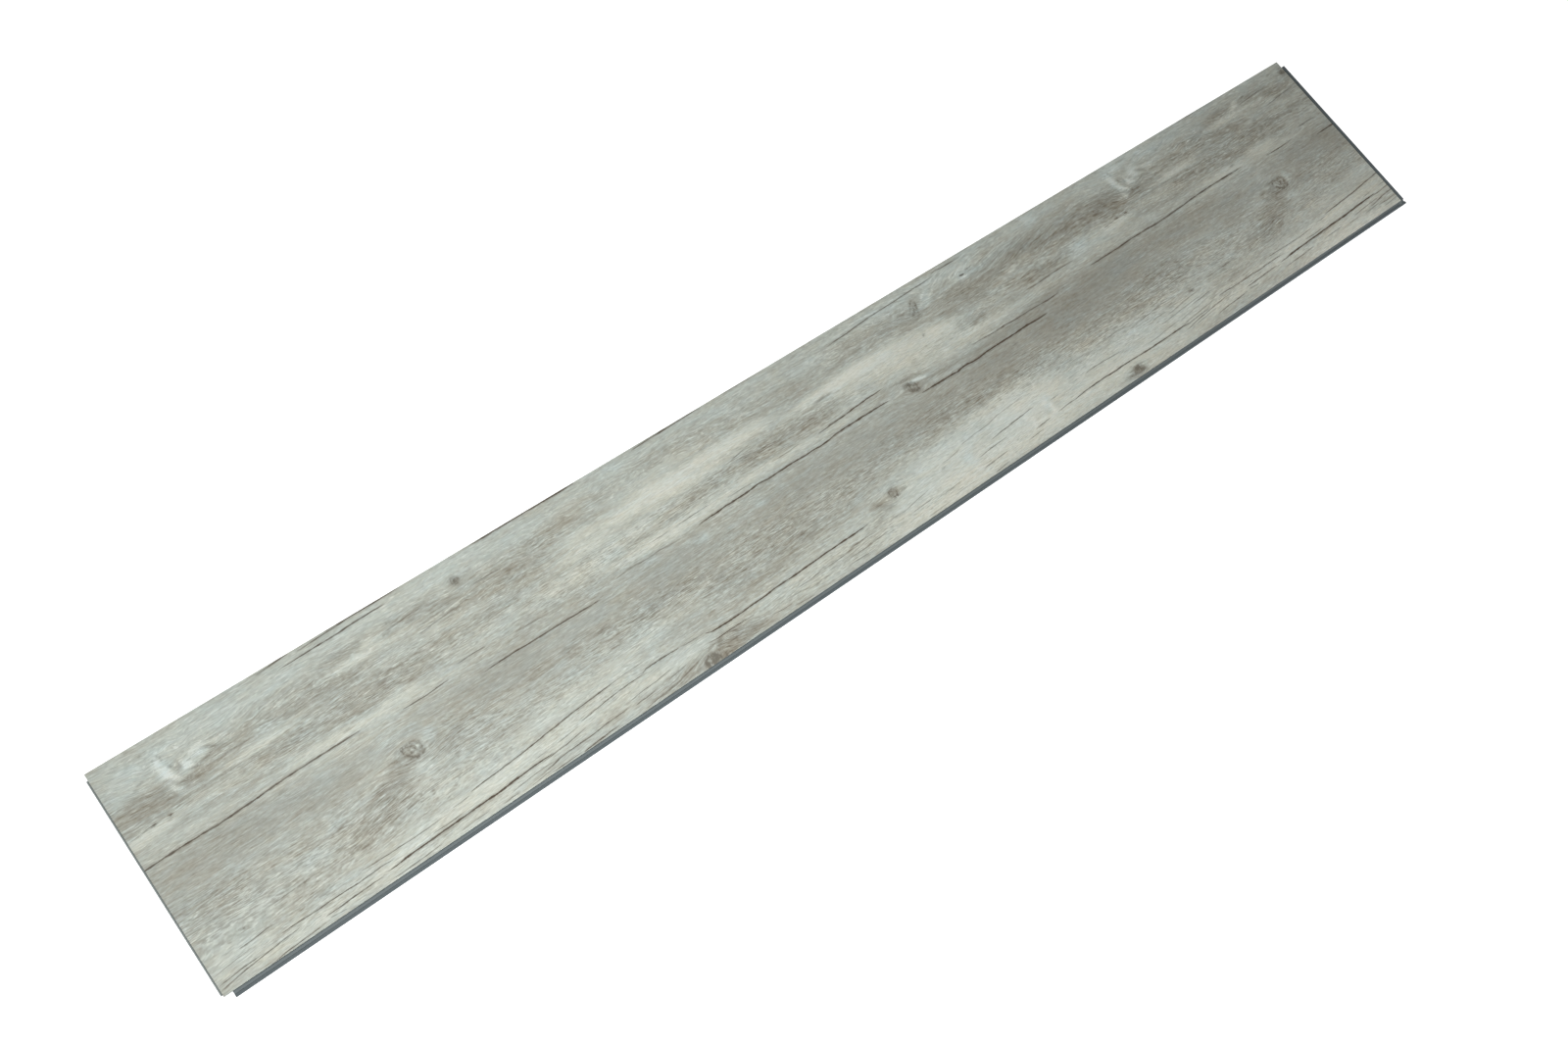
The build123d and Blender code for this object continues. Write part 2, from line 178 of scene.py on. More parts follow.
# Soft patches: (x, y, half length, half height, tilt in degrees, strength)
# Thick cream or white wash
CREAM = [
    (-596, 29, 20, 5.5, 0, 1.0), (-512, 43, 28, 3.2, 1, 0.9), (-476, 47, 24, 1.8, 0, 0.7), (-420, 59.5, 26, 3.8, 0, 0.9),
    (-402, 67, 6, 3.4, 20, 1.0), (-462, 17.5, 36, 4.0, 0, 0.8), (-505, 11, 50, 3.0, 0, 0.5), (-560, 19, 45, 5, 0, 0.2), (-385, 60, 24, 3, 0, 0.5), (-552, 32, 24, 3.5, 0, 0.35), (-430, 14, 14, 4, 0, 0.4), (-432, 33, 10, 6, 0, 0.3), (-120, 23, 34, 3, 0, 0.5), (-590, -66, 24, 3, 0, 0.4), (-585, -81, 30, 3, 0, 0.4), (-411, 20, 16, 7, 0, 0.8),
    (-590, 76, 26, 10, 0, 0.12), (-385, -70, 38, 7, 4, 0.75), (-472, -83, 24, 7, 2, 0.9), (-540, -84, 60, 5, 1, 0.7),
    (-590, -75, 34, 8, 4, 0.45), (-410, -56, 34, 6, 0, 0.45), (-430, -86, 60, 3, 1, 0.6), (-490, -68, 50, 5, 2, 0.2),
    (-345, 47, 22, 4.0, 0, 0.4), (-372, 84, 60, 7, 0, 0.3), (-330, -51, 48, 8, 2, 0.4), (-315, -69, 60, 9, 3, 0.65),
    (-250, -50, 30, 8, 0, 0.4), (-245, 25, 34, 6, 0, 0.85), (-235, 41, 28, 6, 0, 0.65), (-240, 52, 22, 5, 0, 0.7), (-166, 50, 52, 8.5, 0, 1.25),
    (-155, 15, 52, 6, 0, 0.95), (-180, 29, 50, 4.5, 0, 0.85), (-202, 16, 30, 4, 0, 0.7), (-388, 12, 28, 4, 0, 0.4), (352, -75, 28, 5, 3, 0.5), (212, -87, 28, 5, 0, 0.6), (-135, 42, 52, 5, 0, 0.95), (-135, 62, 36, 4, 0, 0.6), (-236, -60, 34, 5, -3, 0.4), (-246, -74, 30, 5, 3, 0.8), (-275, -58, 26, 5, 0, 0.5),
    (-92, 51, 44, 5.5, 0, 1.15), (-75, 17.5, 56, 4.5, 0, 0.8), (16, 46.5, 44, 5.5, 2, 1.15), (50, 47, 46, 6.5, 0, 1.2), (114, 20, 34, 5, 0, 0.55),
    (96, 37, 48, 12, 0, 1.0), (35, 52, 22, 4, 0, 0.5), (26, 33, 12, 5, 0, 0.5), (34, 25, 40, 4, 0, 0.3), (0, 17, 26, 3, 0, 0.5), (62, -56, 50, 11, 2, 0.9),
    (90, -75, 60, 12, 0, 1.0), (24, -74, 50, 9, 0, 0.9), (30, -85, 64, 5, 0, 1.1), (40, 37.5, 40, 3.5, 0, 0.8), (-425, -73, 60, 6, 3, 0.75), (-390, -94, 70, 6, 0, 0.8), (-505, -76, 50, 3.5, 0, 0.5), (-372, -81, 40, 4, 3, 0.5), (-60, -80, 60, 7, 0, 0.7), (-15, -50, 22, 4, 0, 0.2),
    (132, 38, 18, 7, 0, 1.0), (152, 24.5, 34, 4.5, 0, 0.8), (196, 22, 34, 4, 0, 0.5), (180, 38, 22, 5, 0, 0.35),
    (150, -55, 48, 15, 0, 1.2), (236, -60, 50, 10, 3, 0.6), (245, -40, 40, 5, 2, 0.6), (310, -46, 50, 7, 4, 0.7), (128, -41, 50, 6, 2, 0.85), (346, -57, 30, 6, 4, 0.5), (380, -72, 60, 8, 3, 0.35), (150, -80, 60, 9, 0, 0.9), (240, -74, 80, 9, 0, 0.85),
    (300, -84, 50, 6, 0, 0.6), (228, 52, 34, 2.5, 12, 0.6), (316, 36, 18, 3, 0, 0.45), (330, -62, 50, 8, 4, 0.5),
    (60, -70, 130, 20, 0, 0.35), (240, -68, 110, 20, 0, 0.55), (-80, -70, 90, 6, 0, 0.55),
]
# Wood that shows brown through the wash
BROWN = [
    (-591, 47.5, 25, 11, 0, 1.0), (-544, 45.5, 22, 4, 0, 0.95), (-517, 57, 19, 4.5, 6, 0.65), (-470, 55, 34, 8, 0, 0.52),
    (-429, 51, 24, 5.5, -4, 0.8), (-486, 33, 32, 7, 0, 0.45), (-452, 30, 18, 4, 0, 0.5), (-410, 37, 56, 5, 0, 0.40), (-415, 27, 44, 4.5, 0, 0.6),
    (-425, 68, 18, 4, 0, 0.7), (-370, 66, 24, 7, 0, 0.7), (-560, 36, 30, 2, 0, 0.1), (-585, -32, 34, 10, 0, 0.22),
    (-540, -42, 40, 9, 0, 0.08), (-470, -47, 22, 7, 20, 0.5), (-446, -42, 19, 8, 30, 1.0), (-433, -27, 18, 6, 12, 1.05), (-455, -34, 18, 5, 25, 1.0), (-464, -54, 24, 5, 6, 0.65), (-436, -22, 9, 3.2, -18, 0.8),
    (-380, -22, 30, 10, 0, 0.25), (-545, -67, 36, 4, 3, 0.3), (-560, -58, 40, 4, 0, 0.15),
    (-348, 61, 18, 6, 0, 1.0), (-452, 51, 22, 5, 0, 0.35), (-491, 53, 8, 5, 0, 0.45), (-480, -37, 18, 4, 10, 0.35), (-335, 53, 22, 6.5, 0, 0.9), (-292, 53, 36, 11.5, -4, 0.85), (-262, 60, 26, 9, 0, 0.7), (-350, 36, 24, 3.0, 0, 0.5),
    (-317, 36, 18, 4.5, 0, 0.45), (-198, 70, 26, 5, 4, 0.35), (-142, 73, 34, 6, 0, 0.35), (-240, 63, 24, 6, 0, 0.6),
    (-130, 29, 34, 4.5, 0, 0.35), (-146, -53, 36, 9, 0, 0.8), (-112, -54, 22, 6, 0, 0.5), (-152, -38, 26, 6, 0, 0.6), (-210, -28, 50, 7, 0, 0.35),
    (-170, -82, 26, 5.5, -8, 1.4), (-230, -84, 26, 6, 4, 0.95), (-188, -87, 20, 4.5, 0, 1.3), (-160, -86, 14, 3, 0, 0.4), (-300, -20, 50, 6, 0, 0.3),
    (-91, 69, 32, 8, 0, 0.45), (-82, 32, 44, 4, 0, 0.4), (-4, 31, 26, 7, 0, 0.5), (4, 42.6, 11, 1.7, 0, 1.3),
    (-20, 41, 20, 3, 0, 0.4), (74, 66, 38, 9, 0, 0.6), (112, 56, 20, 5, 0, 0.5), (-94, -48, 34, 10, 0, 0.55),
    (95, -20, 44, 10, 0, 0.3), (20, -30, 60, 7, 0, 0.08), (-13, -59.5, 6.5, 4, -20, 1.0), (-18, -67, 9, 4.5, 35, 0.7),
    (-31, -71, 8, 3, 20, 0.4), (40, 66, 14, 6, 0, 0.25), (86, 18.5, 26, 1.2, -5, 0.5), (104, 8, 24, 3, -4, 0.5),
    (180, 53, 40, 12, 0, 1.05), (244, 60, 42, 12, 0, 1.0), (314, 57, 48, 12, 0, 0.88), (164, 30, 7, 3.2, 0, 1.2),
    (252, 36, 30, 6.5, 0, 1.1), (162, 34.5, 13, 1.6, 0, 0.7), (158, -27, 44, 7, 3, 0.75), (60, -35, 44, 3, 2, 0.3), (215, -24, 44, 5, 4, 0.35),
    (285, -26, 50, 8, 4, 0.45), (256, -84, 13, 5, 0, 1.1), (190, 74, 30, 4, 0, 0.3), (215, 78, 30, 6, 14, 0.4),
    (-12, -63, 12, 6, 20, 0.95), (-20, -72, 16, 4, 0, 0.45), (122, 33, 16, 3, 0, 0.45), (158, 47, 10, 4, 0, 0.6), (-30, -72, 12, 5, 0, 0.4), (-430, 30, 20, 3, 0, 0.2),
]
# Thin wash, so the grey wood shows
GREY = [
    (-545, -5, 72, 15, 0, 0.95), (-478, -10, 36, 12, 0, 0.85), (-600, -3, 12, 14, 0, 0.5), (-385, -6, 34, 14, 0, 0.75), (-590, -24, 34, 8, 0, 0.75), (-515, -25, 60, 5, 0, 0.45), (-397, -24, 14, 10, 0, 0.7), (-360, -46, 18, 4, 0, 0.65), (-400, -42, 12, 3, 0, 0.4), (-305, -16, 26, 5, 0, 0.6), (-470, -61, 16, 3, 0, 0.5), (-527, -68, 12, 3, 0, 0.5), (-485, -87, 24, 3, 0, 0.6), (-212, -63, 16, 3, 0, 0.6),
    (-175, -64, 12, 3, 0, 0.5), (-180, -78, 14, 3, 0, 0.4), (-160, -42, 24, 4, 0, 0.5), (172, -13, 24, 4, 0, 0.5), (206, 26, 16, 8, 0, 0.4), (55, 17, 18, 4, 0, 0.45), (-230, -21, 22, 4, 0, 0.5), (-428, -25, 14, 6, 0, 0.5), (-322, 69, 16, 6, 0, 0.45),
    (-450, 69, 50, 7, 0, 0.4), (-500, -32, 50, 7, 0, 0.25), (-458, 47, 26, 4, 0, 0.8), (-570, 25, 28, 3, 0, 0.45), (-415, 25, 56, 4, 0, 0.4), (-525, 22.5, 28, 3, 0, 0.6),
    (-335, -7, 44, 15, 0, 1.0), (-270, 2, 60, 5, 0, 0.5), (-312, -20, 32, 8, 0, 0.6), (-215, -53, 36, 7, 0, 0.45), (-270, -12, 50, 12, 0, 0.85), (-190, -10, 44, 16, 0, 0.9), (-150, -14, 32, 18, 0, 0.6), (-300, -26, 50, 6, 0, 0.5), (-295, 12, 30, 8, 0, 0.55), (-408, -27, 16, 8, 0, 0.35),
    (-225, 8, 50, 3, 0, 0.4), (-300, 38, 40, 4, 0, 0.3), (-250, 70, 30, 6, 0, 0.2),
    (-66, -9, 52, 16, 0, 0.8), (4, -10, 60, 15, 0, 0.85), (75, -14, 50, 15, 0, 1.0), (-10, 62, 48, 9, 0, 0.45),
    (-80, 80, 50, 4, 0, 0.1), (-60, -46, 50, 6, 0, 0.5), (30, 4, 44, 7, 0, 0.6), (235, 13.5, 40, 4.5, 0, 1.05), (180, 7.5, 70, 4, 0, 1.3), (-58, 23, 32, 2.5, 0, 0.5), (-196, 54, 18, 4, 0, 0.6), (100, 9, 30, 2.5, 0, 0.6), (280, -21, 60, 7, 0, 0.7), (20, 76, 60, 5, 0, 0.2), (-30, 34, 40, 6, 0, 0.3),
    (110, 62, 30, 8, 0, 0.4),
    (150, -8, 44, 15, 0, 1.35), (235, -7, 50, 17, 0, 1.55), (300, 0, 50, 16, 0, 1.45), (200, 62, 70, 7, 0, 0.4),
    (280, 66, 60, 12, 0, 0.6), (290, 8, 60, 8, 0, 0.8), (245, 76, 60, 6, 0, 0.1), (330, 60, 60, 16, 0, 0.35),
]
# Cool, bluish pale wash
COOL = [
    (-566, 66, 5.5, 13, 10, 1.2), (-551, 59, 4.5, 5.5, 20, 1.0), (-541, 64, 8, 6, 0, 0.9), (-592, 72, 20, 12, 0, 0.7),
    (-520, 76, 30, 8, 0, 0.6), (-470, 74, 34, 9, 0, 0.8), (-575, 19, 34, 5, 0, 0.35), (-480, 1, 14, 10, 0, 0.5),
    (-453, -6, 15, 10, 0, 0.4), (-408.5, -16, 4, 6, -20, 1.0), (-421, -36, 7, 5, 0, 0.7), (-515, -49, 8, 5, 0, 0.9),
    (-395, -42, 22, 7, 0, 0.25), (-590, -70, 26, 8, 0, 0.5), (-410, 81, 60, 6, 0, 0.7), (-410, 20, 12, 6, 0, 0.5),
    (-535, -22, 26, 5, 0, 0.4), (-400, 2, 16, 3, 0, 0.5), (-455, -20, 10, 2.5, 15, 0.5),
    (-320, 81, 50, 8, 0, 0.7), (-336, 64, 9, 4, 10, 0.35), (-328, 26, 26, 5, 0, 0.45), (-283, 22, 30, 6, 0, 0.3),
    (-284, -9, 48, 8, 0, 0.4), (-232, -42, 14, 8, 0, 0.7), (-214, -71, 24, 5, -3, 0.75), (-196, 4, 7, 3, 0, 0.9),
    (-180, 4.5, 4, 2.2, 0, 0.7), (-148, -2, 5, 4.5, -30, 1.2), (-250, 78, 30, 6, 0, 0.5), (-200, 77, 8, 4, 0, 0.6),
    (-330, -52, 50, 7, 0, 0.25), (-240, 34, 14, 3, 0, 0.4), (-222, 24, 16, 5, 0, 0.5), (-300, 38, 14, 3, 0, 0.4),
    (0, -2, 38, 7, 0, 0.3), (232, 71, 40, 7, 10, 0.5), (-548, -47, 34, 8, 0, 0.55), (-40, 76, 40, 8, 0, 0.4), (-28, 82, 7, 4, -20, 0.9), (165, 82, 60, 5, 0, 0.7), (-520, 74, 22, 5, 0, 0.5), (-560, 81, 30, 4, 0, 0.4), (310, 82, 40, 4, 0, 0.5), (-96, 76, 10, 3.5, 0, 0.6), (-99, -2, 8, 6, -25, 0.7),
    (18, 74, 24, 9, 0, 0.7), (85, 82, 50, 5, 0, 0.8), (-60, 84, 60, 5, 0, 0.5), (-170, 84, 60, 5, 0, 0.6), (84, 13.4, 13, 1.6, -7, 1.4), (60, -50, 50, 9, 0, 0.9),
    (112, -62, 40, 12, 0, 0.8), (76, -68, 9, 4.5, -25, 1.2), (4, -49, 14, 3.2, 0, 0.7), (50, 11, 14, 4, 0, 0.4),
    (30, 26, 20, 4, 0, 0.5), (-60, 54, 16, 5, 0, 0.4), (49, -27, 10, 5, 0, 0.6), (16, -67, 44, 7, 0, 0.8), (-540, 79, 36, 8, 0, 0.9), (-175, 64, 40, 5, 0, 0.5), (-175, 34, 36, 4, 0, 0.8),
    (188, 73, 15, 6, 10, 1.5), (141, 73, 9, 3.5, 38, 0.9), (134, 84, 40, 4, 0, 0.6), (269, 83, 7, 6, 10, 1.1),
    (166, -66, 3.5, 9, 22, 1.3), (160, -73, 5, 3, 45, 0.9), (142, -70, 8, 3, -35, 1.0), (235, -52, 50, 9, 2, 0.5),
    (293, 37, 12, 7, 0, 1.0), (200, -66, 12, 5, 0, 0.8), (290, -55, 30, 10, 6, 0.9), (170, -45, 40, 8, 0, 0.5),
    (150, 10, 30, 3, 0, 0.4), (322, 32, 22, 5, 0, 0.6), (310, 2, 30, 10, 0, 0.4), (240, 84, 50, 5, 0, 0.6),
]
# Where short dark grain ticks crowd
TICKS = [
    (-585, -38, 40, 16, 0, 0.85), (-530, -44, 50, 15, 0, 0.75), (-478, -50, 40, 14, 12, 0.8), (-420, -52, 50, 10, 0, 0.7),
    (-380, -32, 34, 14, 0, 0.8), (-575, 34, 40, 5, 0, 0.5), (-494, 32, 36, 8, 0, 0.95), (-410, 35, 60, 11, 0, 1.0),
    (-330, 32, 50, 9, 0, 0.7), (-330, -40, 56, 9, 0, 0.8), (-240, -30, 50, 12, 0, 0.9), (-180, -30, 50, 12, 0, 0.8),
    (-240, 24, 60, 12, 0, 0.8), (-150, 28, 50, 8, 0, 1.0), (-290, -66, 60, 8, 3, 0.5), (-170, -78, 40, 9, 0, 0.5),
    (-100, -32, 50, 16, 0, 1.0), (-30, -32, 60, 12, 3, 0.85), (40, -26, 50, 10, 3, 0.7), (-60, 32, 70, 8, 0, 1.0),
    (-70, -78, 60, 9, 0, 0.9), (20, -80, 50, 7, 0, 0.5), (110, -30, 60, 10, 2, 0.7), (60, 30, 60, 8, 0, 0.4),
    (180, -34, 60, 10, 3, 0.8), (250, -38, 60, 12, 4, 0.9), (310, -42, 50, 14, 4, 1.0), (240, 40, 60, 8, 0, 0.8),
    (170, 32, 40, 9, 0, 0.6), (110, -78, 60, 8, 0, 0.4), (-540, -76, 60, 10, 4, 0.6), (-330, 12, 60, 4, 0, 0.3),
    (220, 14, 60, 5, 0, 0.3), (-470, 56, 50, 8, 0, 0.5), (-290, 50, 34, 10, 0, 0.3), (-450, -84, 60, 5, 0, 0.4),
]
# Where the grain turns lumpy and curled
MOTTLE = [
    (-556, 62, 30, 20, 0, 1.2), (-500, 60, 40, 12, 0, 1.0), (-430, 62, 50, 12, 0, 0.9), (-320, 60, 60, 20, 0, 1.1),
    (-250, 66, 40, 12, 0, 0.9), (-170, 72, 60, 11, 0, 1.1), (-90, 70, 50, 11, 0, 1.0), (70, 70, 50, 11, 0, 1.0),
    (140, 68, 50, 14, 0, 0.8), (230, 54, 60, 10, 10, 0.8), (310, 68, 50, 14, 0, 0.7), (-445, -38, 40, 12, 24, 0.5),
    (-172, -78, 30, 8, 0, 0.9), (-239, -82, 30, 7, 0, 0.7), (-590, 50, 26, 12, 0, 0.4), (-30, 40, 40, 6, 0, 0.4),
    (-20, -64, 20, 9, 0, 0.7), (-590, 78, 30, 12, 0, 0.6),
]
# Where the grain lines climb: (x, y, half length, half height, slope)
CLIMB = [
    (240, 68, 60, 17, 0.24), (165, 74, 30, 12, 0.24), (318, 72, 30, 12, 0.12), (-458, -42, 40, 16, 0.12),
    (-590, 72, 22, 16, -0.12), (-500, 66, 30, 10, 0.16), (-172, -80, 18, 9, -0.25), (-340, 56, 26, 6, 0.08),
    (-430, 70, 30, 8, -0.08), (60, 60, 40, 8, 0.06),
]
# Knots, round which the grain bends: (x, y, half length, half height, tilt in degrees, (mottling, halo, seed))
KNOTS = [
    (-421.3, -19.8, 7.6, 6.0, -28, (0.9, 0.6, 1.0)), (-328.5, 71.4, 3.0, 3.0, 0, (0.5, 0.8, 2.3)),
    (-204.0, -88.0, 6.9, 6.4, 10, (1.0, 1.0, 3.1)), (1.1, -55.8, 4.4, 4.4, 0, (0.8, 0.3, 4.2)),
    (76.3, 9.8, 6.4, 4.4, -38, (1.0, 0.6, 6.4)), (123.6, 67.4, 6.8, 3.6, 62, (0.4, 0.6, 7.9)),
    (260.6, -83.0, 5.0, 3.8, 0, (0.4, 1.0, 8.8)), (182.0, 70.9, 2.4, 1.2, 0, (0.0, 0.2, 9.6)),
]
